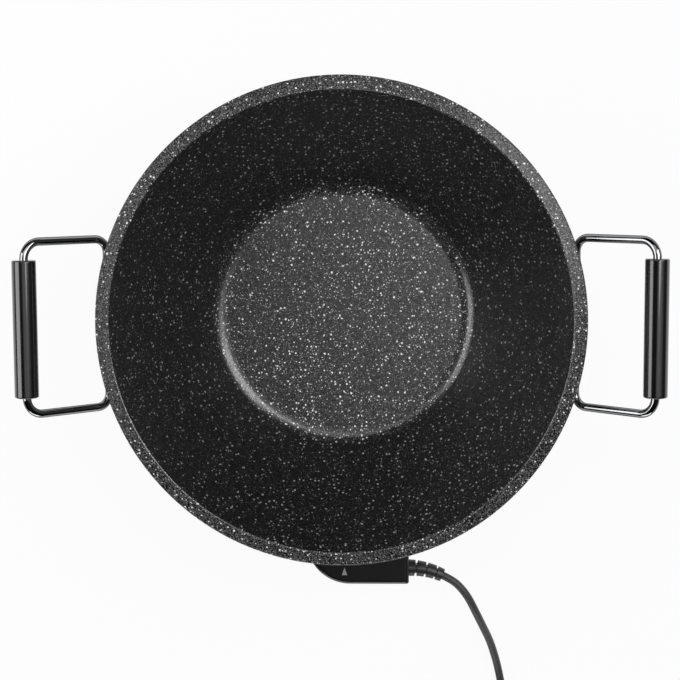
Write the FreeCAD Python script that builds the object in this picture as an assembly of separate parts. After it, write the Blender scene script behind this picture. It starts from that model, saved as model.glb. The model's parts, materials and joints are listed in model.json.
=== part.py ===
import FreeCAD, Part
import math
import os
from FreeCAD import Placement, Rotation, Vector

# Electric wok: a die-cast bowl with a cast-in heating element, a plastic base on four feet, two wire
# handles with tubular grips, and a plug-in thermostat controller on a mains lead.
# Millimetres. The origin is on the table, on the bowl's axis. +Z is up, the controller is at -Y, and
# the handles are at +X and -X.

# ---- bowl --------------------------------------------------------------------------------------
RIM_R = 180.0                 # outer edge of the rim
RIM_BAND_W = 10.0             # from the outer edge to the inner corner
RIM_Z = 150.0                 # height of the inner corner
RIM_DROP = 2.5                # the rim's top falls outwards by this much
LIP_T = 3.2                   # thickness of the rim at its outer edge
LIP_ROUND = 1.4
RIM_INNER_ROUND = 1.2
LIP_ROOT_ROUND = 2.5
WALL_T = 3.5
FLOOR_Z = 60.0                # cooking surface above the table
FLOOR_R = 91.5                # flat part of the floor
FLOOR_T = 6.0
HEEL_R = 14.5                 # inside radius between the floor and the wall
HEEL_TURN = 43.0              # slope at which the heel runs into the wall, in degrees

# ---- heating element and the cast features under the floor ---------------------------------------
POST_SET_IN = 7.5             # screw posts inside the edge of the flat floor
POST_R = 4.5
POST_DEPTH = 18.0             # from the cooking surface down to the posts' ends
POST_ANGLES = (45, 135, 225, 315)
ELEMENT_R = 3.5               # sheath
ELEMENT_SET_IN = 14.0         # the element's ring inside the circle of the posts
ELEMENT_DEPTH = 13.0          # its axis below the cooking surface
ELEMENT_BEND_R = 12.0         # bend from the ring into each cold end
RIDGE_W = 14.0                # cast ridge that holds the element
RIDGE_COVER = 2.0             # metal under the element
RIDGE_ROUND = 2.5
TERMINAL_X = 17.0             # half the distance between the cold ends
TERMINAL_OUT = 6.5            # front face of the cast terminal block beyond the flat floor
TERMINAL_DEPTH = 32.0
TERMINAL_SIDE = 13.0          # block beyond each cold end
PROBE_REACH = 36.0            # the probe's tip behind the block's front face
PROBE_BOSS_HALF_W = 8.0
PROBE_BOSS_END = 8.0          # metal past the probe's tip

# ---- base --------------------------------------------------------------------------------------
BASE_BOWL_GAP = 3.2           # air between the base's top lip and the bowl
BASE_LIP_W = 4.78             # top lip, from its opening out to the skirt
BASE_LIP_ROUND = 3.0
BASE_FLARE = 6.5              # the skirt is wider at the bottom by this much
BASE_WALL_T = 2.6
FOOT_RING_W = 14.0
FOOT_RING_T = 3.0
FOOT_H = 4.0                  # rubber foot below the foot ring
FOOT_R = 6.5
FOOT_ROUND = 0.8
FOOT_STEM_R = 3.0
FOOT_HEAD_R = 3.8
FOOT_HEAD_H = 2.0
FOOT_HEAD_GAP = 0.25          # between a foot's head and the skirt
SHELF_T = 2.5                 # shelf under the screw posts
SHELF_SEAT_W = 6.0            # shelf inside the circle of the screws
RIB_T = 2.2
RIB_COUNT = 8
RIB_FOOT = 8.0                # a rib's lower end above the foot ring
RIB_CLEAR = 1.5               # from the heat shield's edge to a rib
VENT_W = 3.0
VENT_H = 15.0
VENT_SILL = 10.0              # lower end of a vent above the foot ring
VENT_STEP = 5.0               # degrees
VENT_COUNT = 7                # in each of the groups
VENT_GROUPS = (0, 90, 180)
SHIELD_T = 0.8
SHIELD_RIM_W = 16.0           # flat rim of the heat shield, with the screws in its middle
SHIELD_SLOPE_W = 8.0
SHIELD_DISH_DEPTH = 8.7
SHIELD_INLET_GAP = 8.0        # its straight front edge behind the inlet

# ---- fasteners ---------------------------------------------------------------------------------
SCREW_R = 2.0                 # M4
SCREW_HEAD_R = 3.6
SCREW_HEAD_H = 2.4
SCREW_FIT = 0.05              # between a screw and its hole
SMALL_SCREW_R = 1.5           # M3
SMALL_HEAD_R = 2.7
SMALL_HEAD_H = 1.8
BASE_SCREW_GRIP = 7.0         # thread in a post
SHROUD_SCREW_L = 11.0
EARTH_SCREW_L = 6.0
BRACKET_SCREW_L = 5.2
CASE_SCREW_L = 17.0

# ---- power inlet -------------------------------------------------------------------------------
PIN_R = 2.5
PIN_L = 24.0
PIN_ROUND = 1.5
BUSH_R = 4.5
BUSH_L = 4.5
BUSH_ROUND = 0.8
SHROUD_L = 39.0               # collar in front of its back wall
SHROUD_WALL_T = 2.2
SHROUD_BACK_T = 3.0
SHROUD_ROUND = 3.0
SHROUD_SCREW_OUT = 8.4        # its screws beyond the pins
BASE_SHROUD_GAP = 0.4
BLOCK_BOWL_GAP = 1.2          # from the shroud's back wall up to the bowl
EARTH_T = 0.8
EARTH_SET_IN = 8.0            # earth strip inside the pin
EARTH_HALF_W = 4.5
EARTH_SCREW_IN = 14.0         # its screw behind the block's front face
EARTH_TAB_L = 8.0             # strip past its screw
EARTH_LEAF_L = 28.0           # leaf in front of the block

# ---- handles -----------------------------------------------------------------------------------
WIRE_R = 3.0
KNUCKLE_DROP = 14.0           # axis of the wire's ends below the rim's inner corner
KNUCKLE_T = 1.6               # sheet of the bracket
KNUCKLE_FIT = 0.05
KNUCKLE_Y0 = 12.0             # each end of the wire lies in a knuckle from here
KNUCKLE_Y1 = 34.0             # to here
KNUCKLE_OPEN_FROM = 180.0     # open sector of the rolled knuckle, in degrees
KNUCKLE_OPEN_TO = 238.0
BRACKET_H = 25.0
BRACKET_CORNER_R = 6.0
BRACKET_SCREW_Y = 19.0
BRACKET_SCREW_DROP = 15.0     # from the knuckle's axis down to the screws
PAD_PROUD = 0.9               # flat cast pad stands out of the bowl's wall
PAD_MARGIN = 3.0              # pad beyond the bracket
PAD_SUNK = 12.0               # pad block before the bowl's hollow is cut from it
HANDLE_HALF_W = 62.0          # side wires
HANDLE_TILT = 42.0            # above the horizontal
HANDLE_REACH = 69.2           # from the knuckles to the grip's axis
WIRE_INNER_BEND = 10.0
WIRE_OUTER_BEND = 12.5
GRIP_R = 8.7
GRIP_END_ROUND = 1.3
GRIP_FIT = 0.1
GRIP_END_GAP = 0.2

# ---- controller --------------------------------------------------------------------------------
NOSE_SIDE = 12.0              # nose beyond each pin
NOSE_HALF_H = 7.5
NOSE_SEAT_GAP = 4.0           # from the shroud's back wall to the seated nose
NOSE_ROUND = 2.2
NOSE_FIT = 1.2                # all round, inside the shroud
CASE_SHROUD_GAP = 10.0        # from the shroud's mouth to the case
CASE_LEFT_MARGIN = 1.8        # case beyond the nose, on the left
CASE_W = 81.8
CASE_L = 67.3
CASE_H = 30.0
CASE_ABOVE_PINS = 13.0
CASE_SPLIT_DROP = 2.0         # parting line below the pins
CASE_T = 2.2
CASE_CORNER_LEFT_R = 35.0
CASE_CORNER_RIGHT_R = 2.0
CASE_CORNER_INNER_R = 0.5     # the same corner, inside
CASE_BACK_R = 5.0
CASE_SHOULDER_R = 9.0
CASE_SHOULDER_L = 18.0        # the right side narrows this far from the back
CASE_EDGE_ROUND = 3.4
CASE_BOTTOM_ROUND = 2.0
CASE_POST_R = 3.6
CASE_SCREW_SUNK = 0.4         # a screw's head inside the case's bottom
CASE_SCREW_FREE = 0.3         # room round a screw's head
SCREW_LEFT_IN = (8.8, 10.0)   # a screw from the case's left and back
SCREW_RIGHT_IN = (9.0, 24.0)  # from its right and back
SCREW_FRONT_IN = 8.8          # from its front
SCREW_FRONT_X = 14.0          # and from the dial's axis
CARRIER_FIT = 0.1
CARRIER_SET_IN = 0.5          # behind the nose's front
SLEEVE_WALL = 0.8
SLEEVE_FIT = 0.06             # between a pin and its sleeve
SLEEVE_L = 24.0
SLEEVE_SETBACK = 1.5
SLEEVE_SLIT = 0.8
PROBE_R = 3.8
PROBE_FIT = 0.5
PROBE_END_GAP = 2.0
SWITCH_HALF_W = 15.0
SWITCH_L = 43.0
SWITCH_BACK_GAP = 4.0         # from the case's back
SWITCH_LIFT = 0.8             # above the case's bottom wall
SWITCH_ABOVE_PINS = 3.0
SWITCH_CORNER_R = 1.5
SWITCH_BAY_W = 8.0            # open bay for the snap arm
SWITCH_BAY_END = 6.0
SWITCH_BAY_FLOOR = 3.0
SNAP_ARM_T = 0.5
SNAP_ARM_HALF_W = 3.5
SNAP_ARM_LIFT = 6.0           # above the bay's floor
SNAP_ARM_SHORT = 4.0          # free end before the bay's end
SNAP_STOP_R = 1.6
SNAP_STOP_IN = 3.0            # the stop's axis before the arm's free end
BLOCK_W = 16.0
BLOCK_L = 19.5
BLOCK_H = 12.0
BLOCK_SIDE_GAP = 8.8          # from the case's inside, on the right
BLOCK_FRONT_GAP = 16.1        # and from its inside, in front
BLOCK_SCREW_STEP = 7.0
BLOCK_SCREW_R = 1.9
BLOCK_SCREW_DEPTH = 4.0
BLOCK_WIRE_R = 1.6
BLOCK_WIRE_LIFT = 5.0
LAMP_RIGHT_IN = 17.0          # pilot lamp from the case's right
LAMP_BACK_IN = 14.0           # and from its back
LAMP_R = 2.2
LAMP_L = 9.0
LENS_R = 3.0
LENS_PROUD = 0.8

# ---- dial --------------------------------------------------------------------------------------
DIAL_X = 0.0
DIAL_BACK_IN = 31.0           # its axis from the case's back
DIAL_R = 18.0
DIAL_SKIRT_T = 2.4
DIAL_GRIP_R = 14.2
DIAL_GRIP_TAPER = 0.5
DIAL_TOP_ROUND = 1.2
DIAL_H = 9.4
DIAL_GAP = 0.6                # dial above the case
DIAL_FLUTES = 24
FLUTE_R = 1.3
SPINDLE_R = 3.0
SPINDLE_FLAT = 2.2            # from the axis to the flat
SPINDLE_FIT = 0.05
SPINDLE_END_GAP = 0.3
SPINDLE_IN_DIAL = 6.5
SPINDLE_IN_SWITCH = 5.0
DIAL_WELL_CLEAR = 0.35

# ---- strain relief, cord and plug ----------------------------------------------------------------
CORD_R = 3.2
EXIT_FRONT_IN = 10.3          # the cord's exit from the case's front
RELIEF_ARC_R = 61.5           # the strain relief bends forward
RELIEF_TURN = 25.7
RELIEF_R0 = 6.7               # at the case
RELIEF_R1 = 5.3               # at its tip
RELIEF_FLANGE_R = 7.8
RELIEF_FLANGE_T = 2.0
RELIEF_NOTCH_W = 1.7
RELIEF_NOTCH_AT = (0.21, 0.50, 0.80)   # shares of the strain relief's length
RELIEF_GROOVE = 1.4
RELIEF_CORE = 0.1             # left on the cord in a notch
CLAMP_W = 4.5
CLAMP_GAP = 0.8               # from the strain relief's flange
CLAMP_SIDE = 3.5              # beside the cord
CLAMP_COVER = 1.5             # over the cord
CORD_END = 4.0                # inner end of the cord past the clamp

COIL_TURN_R = 40.4            # outermost turn
COIL_LEAD_X = 135.0           # the cord meets the coil here, running forward
COIL_Y = -364.0
COIL_LAYERS = 2
COIL_COLUMNS = 3
COIL_AIR = 0.15               # the coil's solid stands this far off its turns
CORD_LIFT = 0.1               # above the table, where the cord lies
CORD_STRAIGHT = 8.5           # straight out of the strain relief to the route's first point
CORD_POINTS = (
    (92.2, -222.6, 45.0),
    (99.0, -231.8, 44.4),
    (105.0, -244.6, 40.5),
    (111.5, -259.5, 30.5),
    (119.0, -277.5, 15.8),
    (126.5, -304.5, 3.7),
    (131.5, -336.0, 3.3),
)
PLUG_X = 24.0
PLUG_R = 18.7
PLUG_H = 20.0
PLUG_FLAT_CUT = 2.1           # depth of the plug's two flats
PLUG_RELIEF_L = 24.0
PLUG_RELIEF_R0 = 7.2          # at the plug
PLUG_RELIEF_R1 = 4.4          # at its end
PLUG_RELIEF_SUNK = 2.0        # inside the plug's body
PLUG_EDGE_ROUND = 2.4
PLUG_PIN_R = 2.4
PLUG_PIN_L = 19.0
PLUG_PIN_TIP = 1.0
PLUG_PIN_SUNK = 6.0
PLUG_PIN_ROOT_R = 2.0         # sunk end of a pin
PLUG_PIN_HALF_PITCH = 9.5
EARTH_CLIP_W = 6.0
EARTH_CLIP_L = 14.0
EARTH_CLIP_T = 1.2
EARTH_CLIP_LIP = 3.5
EARTH_CLIP_FIT = 0.05
EARTH_HOLE_R = 2.5
EARTH_HOLE_DEPTH = 12.0

OUT = "parts"
AXIS = Vector(0, 0, 1)
CENTRE = Vector(0, 0, 0)
PAST = 1.0                    # a cutting tool goes this far past the face it opens

# ---- sizes that follow from the ones above ---------------------------------------------------------
RIM_INNER_R = RIM_R - RIM_BAND_W
PAD_STEP = FLOOR_T - WALL_T                  # the thick floor stands below the wall's underside
FLOOR_UNDER_Z = FLOOR_Z - FLOOR_T
POST_CIRCLE_R = FLOOR_R - POST_SET_IN
ELEMENT_RING_R = POST_CIRCLE_R - ELEMENT_SET_IN
ELEMENT_Z = FLOOR_Z - ELEMENT_DEPTH
RIDGE_Z = ELEMENT_Z - ELEMENT_R - RIDGE_COVER
TERMINAL_Y = -(FLOOR_R + TERMINAL_OUT)       # front face of the terminal block
TERMINAL_BACK_Y = TERMINAL_Y + TERMINAL_DEPTH
TERMINAL_HALF_W = TERMINAL_X + TERMINAL_SIDE
PROBE_TIP_Y = TERMINAL_Y + PROBE_REACH
PROBE_BOSS_BACK_Y = PROBE_TIP_Y + PROBE_BOSS_END
BASE_TOP_Z = FLOOR_Z                         # the base's lip is level with the cooking surface
SHELF_TOP_Z = FLOOR_Z - POST_DEPTH
SHELF_Z = SHELF_TOP_Z - SHELF_T
SHELF_INNER_R = POST_CIRCLE_R - SHELF_SEAT_W
BASE_SCREW_L = SHELF_T + SHIELD_T + BASE_SCREW_GRIP
SHIELD_R = POST_CIRCLE_R + SHIELD_RIM_W / 2
SHIELD_RIM_INNER_R = POST_CIRCLE_R - SHIELD_RIM_W / 2
SHIELD_DISH_R = SHIELD_RIM_INNER_R - SHIELD_SLOPE_W
PIN_TIP_Y = TERMINAL_Y - PIN_L
NOSE_HALF_W = TERMINAL_X + NOSE_SIDE
NOSE_Z0 = ELEMENT_Z - NOSE_HALF_H
NOSE_Z1 = ELEMENT_Z + NOSE_HALF_H
SHROUD_SCREW_X = TERMINAL_X + SHROUD_SCREW_OUT
SHROUD_HALF_W = NOSE_HALF_W + NOSE_FIT + SHROUD_WALL_T
SHROUD_Z0 = NOSE_Z0 - NOSE_FIT - SHROUD_WALL_T
SHROUD_Z1 = NOSE_Z1 + NOSE_FIT + SHROUD_WALL_T
SHROUD_BACK_Y = TERMINAL_Y - SHROUD_BACK_T
SHROUD_MOUTH_Y = SHROUD_BACK_Y - SHROUD_L
EARTH_X = EARTH_SET_IN - TERMINAL_X
EARTH_SCREW_Y = TERMINAL_Y + EARTH_SCREW_IN
EARTH_LEAF_Z = SHROUD_Z0 + SHROUD_WALL_T
KNUCKLE_Z = RIM_Z - KNUCKLE_DROP
KNUCKLE_R = WIRE_R + KNUCKLE_FIT + KNUCKLE_T
GRIP_HALF_L = HANDLE_HALF_W - WIRE_OUTER_BEND - GRIP_END_GAP
NOSE_FRONT_Y = SHROUD_BACK_Y - NOSE_SEAT_GAP
SLEEVE_R = PIN_R + SLEEVE_FIT + SLEEVE_WALL
SLEEVE_FRONT_Y = NOSE_FRONT_Y - SLEEVE_SETBACK
SLEEVE_BACK_Y = SLEEVE_FRONT_Y - SLEEVE_L
CASE_BACK_Y = SHROUD_MOUTH_Y - CASE_SHROUD_GAP
CASE_FRONT_Y = CASE_BACK_Y - CASE_L
CASE_SHOULDER_Y = CASE_BACK_Y - CASE_SHOULDER_L
CASE_LEFT_X = -(NOSE_HALF_W + CASE_LEFT_MARGIN)
CASE_RIGHT_X = CASE_LEFT_X + CASE_W
CASE_TOP_Z = ELEMENT_Z + CASE_ABOVE_PINS
CASE_BOTTOM_Z = CASE_TOP_Z - CASE_H
CASE_SPLIT_Z = ELEMENT_Z - CASE_SPLIT_DROP
CASE_FLOOR_Z = CASE_BOTTOM_Z + CASE_T
CASE_CEILING_Z = CASE_TOP_Z - CASE_T
CASE_INSIDE_X = CASE_RIGHT_X - CASE_T
CASE_SCREW_SEAT_Z = CASE_BOTTOM_Z + SMALL_HEAD_H + CASE_SCREW_SUNK
CASE_SCREW_SPOTS = (
    (CASE_LEFT_X + SCREW_LEFT_IN[0], CASE_BACK_Y - SCREW_LEFT_IN[1]),
    (CASE_RIGHT_X - SCREW_RIGHT_IN[0], CASE_BACK_Y - SCREW_RIGHT_IN[1]),
    (DIAL_X + SCREW_FRONT_X, CASE_FRONT_Y + SCREW_FRONT_IN),
)
SWITCH_X = (DIAL_X - SWITCH_HALF_W, DIAL_X + SWITCH_HALF_W)
SWITCH_Y = (CASE_BACK_Y - SWITCH_BACK_GAP - SWITCH_L, CASE_BACK_Y - SWITCH_BACK_GAP)
SWITCH_Z = (CASE_FLOOR_Z + SWITCH_LIFT, ELEMENT_Z + SWITCH_ABOVE_PINS)
BLOCK_X = (CASE_INSIDE_X - BLOCK_SIDE_GAP - BLOCK_W, CASE_INSIDE_X - BLOCK_SIDE_GAP)
BLOCK_Y = (CASE_FRONT_Y + CASE_T + BLOCK_FRONT_GAP, CASE_FRONT_Y + CASE_T + BLOCK_FRONT_GAP + BLOCK_L)
LAMP_X = CASE_RIGHT_X - LAMP_RIGHT_IN
LAMP_Y = CASE_BACK_Y - LAMP_BACK_IN
DIAL_Y = CASE_BACK_Y - DIAL_BACK_IN
DIAL_Z = CASE_TOP_Z + DIAL_GAP
EXIT_Y = CASE_FRONT_Y + EXIT_FRONT_IN
EXIT_Z = CASE_SPLIT_Z
FLANGE_X = CASE_INSIDE_X - RELIEF_FLANGE_T
CLAMP_X = (FLANGE_X - CLAMP_GAP - CLAMP_W, FLANGE_X - CLAMP_GAP)
COIL_X = COIL_LEAD_X - COIL_TURN_R
COIL_OUTER_R = COIL_TURN_R + CORD_R + COIL_AIR
COIL_INNER_R = COIL_TURN_R - (2 * COIL_COLUMNS - 1) * CORD_R - COIL_AIR
COIL_H = 2 * COIL_LAYERS * CORD_R
TAIL_Z = COIL_H - CORD_R                     # the coil's upper layer
PLUG_Y = COIL_Y - COIL_TURN_R
PLUG_FLAT_Y = PLUG_R - PLUG_FLAT_CUT
PLUG_RELIEF_END_X = PLUG_X + PLUG_R - PLUG_RELIEF_SUNK / 2 + PLUG_RELIEF_L


# ---- small tools -----------------------------------------------------------------------------------
def rz(r, z):
    """Point of a turned profile."""
    return Vector(r, 0, z)


def polar(r, degrees, z):
    a = math.radians(degrees)
    return Vector(r * math.cos(a), r * math.sin(a), z)


def box(x, y, z):
    """Box between two limits along each axis."""
    return Part.makeBox(x[1] - x[0], y[1] - y[0], z[1] - z[0], Vector(x[0], y[0], z[0]))


def cylinder(radius, start, end):
    return Part.makeCylinder(radius, (end - start).Length, start, end - start)


def face_of(points):
    return Part.Face(Part.makePolygon(list(points) + [points[0]]))


def turned(points):
    """Ring or disc about the Z axis from a closed profile of (r, z) points."""
    return face_of([rz(*p) for p in points]).revolve(CENTRE, AXIS, 360)


def fused(shapes):
    shapes = list(shapes)
    return shapes[0].fuse(shapes[1:]).removeSplitter() if len(shapes) > 1 else shapes[0]


def without(shape, tools):
    return shape.cut(list(tools))


def half_turn(shape):
    """The same shape on the other side of the bowl."""
    copy = shape.copy()
    copy.rotate(CENTRE, AXIS, 180)
    return copy


def around(shape, angles):
    """Copies of a shape, turned about the Z axis."""
    copies = []
    for angle in angles:
        copy = shape.copy()
        copy.rotate(CENTRE, AXIS, angle)
        copies.append(copy)
    return copies


def ring_edges(shape, radius, z, within=0.05):
    """Circular edges about the Z axis, at a radius and a height."""
    return [
        e for e in shape.Edges
        if isinstance(e.Curve, Part.Circle)
        and abs(e.Curve.Radius - radius) < within
        and abs(e.Curve.Center.z - z) < within
        and math.hypot(e.Curve.Center.x, e.Curve.Center.y) < within
    ]


def edges_in(shape, low, high):
    """Edges that lie wholly between two corners."""
    slack = 0.01
    found = []
    for e in shape.Edges:
        b = e.BoundBox
        inside = (
            b.XMin > low[0] - slack and b.XMax < high[0] + slack
            and b.YMin > low[1] - slack and b.YMax < high[1] + slack
            and b.ZMin > low[2] - slack and b.ZMax < high[2] + slack
        )
        if inside:
            found.append(e)
    return found


def corner(before, point, after, radius):
    """Arc of a radius that rounds a corner: its start, a point on it, its end."""
    back = (before - point).normalize()
    on = (after - point).normalize()
    half = back.getAngle(on) / 2
    reach = radius / math.tan(half)
    bisector = (back + on).normalize()
    middle = point + bisector * (radius / math.sin(half) - radius)
    return point + back * reach, middle, point + on * reach


def rounded_path(points, radii):
    """Open wire through points, with a tangent arc at each inner point."""
    edges = []
    at = points[0]
    for i, radius in enumerate(radii, start=1):
        start, middle, end = corner(points[i - 1], points[i], points[i + 1], radius)
        if (start - at).Length > 1e-6:
            edges.append(Part.makeLine(at, start))
        edges.append(Part.Arc(start, middle, end).toShape())
        at = end
    edges.append(Part.makeLine(at, points[-1]))
    return Part.Wire(edges)


def rounded_outline(corners, z):
    """Closed wire at height z through (x, y, radius) corners."""
    points = [Vector(x, y, z) for x, y, _ in corners]
    count = len(points)
    edges = []
    arcs = [corner(points[i - 1], points[i], points[(i + 1) % count], corners[i][2]) for i in range(count)]
    for i in range(count):
        start, middle, end = arcs[i]
        edges.append(Part.Arc(start, middle, end).toShape())
        following = arcs[(i + 1) % count][0]
        if (following - end).Length > 1e-6:
            edges.append(Part.makeLine(end, following))
    return Part.Wire(edges)


def swept(path, radius):
    """Round bar along a wire."""
    first = path.OrderedEdges[0]
    start = first.valueAt(first.FirstParameter)
    heading = first.tangentAt(first.FirstParameter)
    section = Part.Wire(Part.makeCircle(radius, start, heading))
    return path.makePipeShell([section], True, False)


def screw(shank_r, head_r, head_h, length, seat, pointing):
    """Pan-head screw with a cross recess. Its head's underside is at seat, and its shank points away."""
    dome = head_h * 0.35
    body = turned([
        (0, -head_h), (head_r * 0.7, -head_h), (head_r * 0.93, -head_h + dome), (head_r, 0),
        (shank_r, 0), (shank_r, length - shank_r * 0.4), (shank_r * 0.6, length), (0, length),
    ])
    arm = head_r * 0.55
    half_w = head_r * 0.13
    depth = head_h * 0.6
    recess = [
        box((-arm, arm), (-half_w, half_w), (-head_h - 1, -head_h + depth)),
        box((-half_w, half_w), (-arm, arm), (-head_h - 1, -head_h + depth)),
    ]
    body = without(body, recess)
    body.Placement = Placement(seat, Rotation(AXIS, pointing))
    return body


# ---- bowl ------------------------------------------------------------------------------------------
def heel_point(outwards, slope):
    """Point of the heel where the surface has risen to a slope; outwards is its distance from the inside."""
    a = math.radians(slope)
    r = HEEL_R + outwards
    return rz(FLOOR_R + r * math.sin(a), FLOOR_Z + HEEL_R - r * math.cos(a))


HEEL_END = heel_point(0, HEEL_TURN)
WALL_CHORD = rz(RIM_INNER_R, RIM_Z) - HEEL_END
WALL_TURN = 2 * (math.degrees(math.atan2(WALL_CHORD.z, WALL_CHORD.x)) - HEEL_TURN)
WALL_R = WALL_CHORD.Length / (2 * math.sin(math.radians(WALL_TURN / 2)))
WALL_CENTRE = HEEL_END + rz(-math.sin(math.radians(HEEL_TURN)), math.cos(math.radians(HEEL_TURN))) * WALL_R


def wall_point(outwards, slope):
    a = math.radians(slope)
    r = WALL_R + outwards
    return WALL_CENTRE + rz(r * math.sin(a), -r * math.cos(a))


def wall_slope(outwards, z):
    """Slope of the wall, in degrees, where it is at a height."""
    return math.degrees(math.acos((WALL_CENTRE.z - z) / (WALL_R + outwards)))


BASE_LIP_Z = BASE_TOP_Z + BASE_BOWL_GAP     # the wall's height beside the lip
BASE_LIP_R = wall_point(WALL_T, wall_slope(WALL_T, BASE_LIP_Z)).x + BASE_BOWL_GAP * 0.3
BASE_TOP_R = BASE_LIP_R + BASE_LIP_W        # outside below the top lip
BASE_FOOT_R = BASE_TOP_R + BASE_FLARE       # outside at the bottom


def arc_between(point_at, outwards, slope0, slope1):
    points = [point_at(outwards, s) for s in (slope0, (slope0 + slope1) / 2, slope1)]
    return Part.Arc(*points).toShape()


def bowl_profile(outwards, top_slope, floor_z, end_points):
    """Closed profile from the axis along the floor, heel and wall, then through end_points to the axis."""
    start = [rz(0, floor_z)]
    if outwards:
        start += [rz(FLOOR_R - PAD_STEP, floor_z)]
    start += [heel_point(outwards, 0)]
    finish = [wall_point(outwards, top_slope)] + end_points + [rz(0, end_points[-1].z), start[0]]
    edges = [Part.makeLine(a, b) for a, b in zip(start, start[1:])]
    edges += [arc_between(heel_point, outwards, 0, HEEL_TURN)]
    edges += [arc_between(wall_point, outwards, HEEL_TURN, top_slope)]
    edges += [Part.makeLine(a, b) for a, b in zip(finish, finish[1:])]
    return Part.Face(Part.Wire(edges)).revolve(CENTRE, AXIS, 360)


def bowl_hollow():
    """Everything that the bowl can hold, and some air above it."""
    above = 20.0
    return bowl_profile(0, HEEL_TURN + WALL_TURN, FLOOR_Z, [rz(RIM_INNER_R, RIM_Z + above)])


def bowl_shell():
    """Turned shape of the bowl, with its rolled-over rim."""
    edge_top = RIM_Z - RIM_DROP
    edge_under = edge_top - LIP_T
    root_slope = wall_slope(WALL_T, edge_under + RIM_DROP * 0.8)
    solid = bowl_profile(WALL_T, root_slope, FLOOR_UNDER_Z, [
        rz(RIM_R, edge_under), rz(RIM_R, edge_top), rz(RIM_INNER_R, RIM_Z),
    ])
    root = wall_point(WALL_T, root_slope)
    shell = solid.cut(bowl_hollow())
    lip = ring_edges(shell, RIM_R, edge_top) + ring_edges(shell, RIM_R, edge_under)
    shell = shell.makeFillet(LIP_ROUND, lip)
    shell = shell.makeFillet(RIM_INNER_ROUND, ring_edges(shell, RIM_INNER_R, RIM_Z))
    return shell.makeFillet(LIP_ROOT_ROUND, ring_edges(shell, root.x, root.z))


def element_path():
    """Centre line of the heating element: out of one cold end, round the ring, into the other."""
    bend_x = TERMINAL_X + ELEMENT_BEND_R
    reach = ELEMENT_RING_R + ELEMENT_BEND_R
    bend_y = -math.sqrt(reach ** 2 - bend_x ** 2)
    share = ELEMENT_RING_R / reach
    join = Vector(bend_x * share, bend_y * share, ELEMENT_Z)
    straight = Vector(TERMINAL_X, bend_y, ELEMENT_Z)
    half_way = math.radians((180 + math.degrees(math.atan2(join.y - bend_y, join.x - bend_x))) / 2)
    middle = Vector(
        bend_x + ELEMENT_BEND_R * math.cos(half_way), bend_y + ELEMENT_BEND_R * math.sin(half_way), ELEMENT_Z)

    def mirrored(p):
        return Vector(-p.x, p.y, p.z)

    end = Vector(TERMINAL_X, TERMINAL_Y, ELEMENT_Z)
    return Part.Wire([
        Part.makeLine(end, straight),
        Part.Arc(straight, middle, join).toShape(),
        Part.Arc(join, Vector(0, ELEMENT_RING_R, ELEMENT_Z), mirrored(join)).toShape(),
        Part.Arc(mirrored(join), mirrored(middle), mirrored(straight)).toShape(),
        Part.makeLine(mirrored(straight), mirrored(end)),
    ])


def heating_element():
    return swept(element_path(), ELEMENT_R)


def along_y(radius, x, y0, y1, z):
    """Round bar parallel to the Y axis."""
    return cylinder(radius, Vector(x, y0, z), Vector(x, y1, z))


def handle_frame():
    """Where the right handle's bracket sits: X out of the wall, Z up the wall, origin on the wall."""
    stand_off = PAD_PROUD + KNUCKLE_R
    slope = wall_slope(WALL_T + stand_off, KNUCKLE_Z)
    return Placement(wall_point(WALL_T, slope), Rotation(Vector(0, 1, 0), 90 - slope))


def placed(shape, placement):
    copy = shape.copy()
    copy.Placement = placement.multiply(copy.Placement)
    return copy


def handle_pad():
    """Cast pad on the wall with a flat face for the bracket."""
    half_w = KNUCKLE_Y1 + PAD_MARGIN
    block = box((-PAD_SUNK, PAD_PROUD), (-half_w, half_w), (-BRACKET_H - PAD_MARGIN, PAD_MARGIN))
    rim_side = edges_in(block, (PAD_PROUD, -half_w, -BRACKET_H - PAD_MARGIN), (PAD_PROUD, half_w, PAD_MARGIN))
    return placed(block.makeFillet(PAD_PROUD * 0.6, rim_side), handle_frame())


def bracket_screw_spots():
    frame = handle_frame()
    outer = PAD_PROUD + KNUCKLE_T
    return [
        (frame.multVec(Vector(outer, y, -BRACKET_SCREW_DROP)), frame.Rotation.multVec(Vector(-1, 0, 0)))
        for y in (-BRACKET_SCREW_Y, BRACKET_SCREW_Y)
    ]


def screw_hole(spot, length):
    seat, pointing = spot
    return cylinder(SCREW_R + SCREW_FIT, seat - pointing, seat + pointing * (length + SCREW_FIT))


def base_screw_spots():
    seat_z = SHELF_Z - SHIELD_T
    return [(polar(POST_CIRCLE_R, a, seat_z), AXIS) for a in POST_ANGLES]


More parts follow.
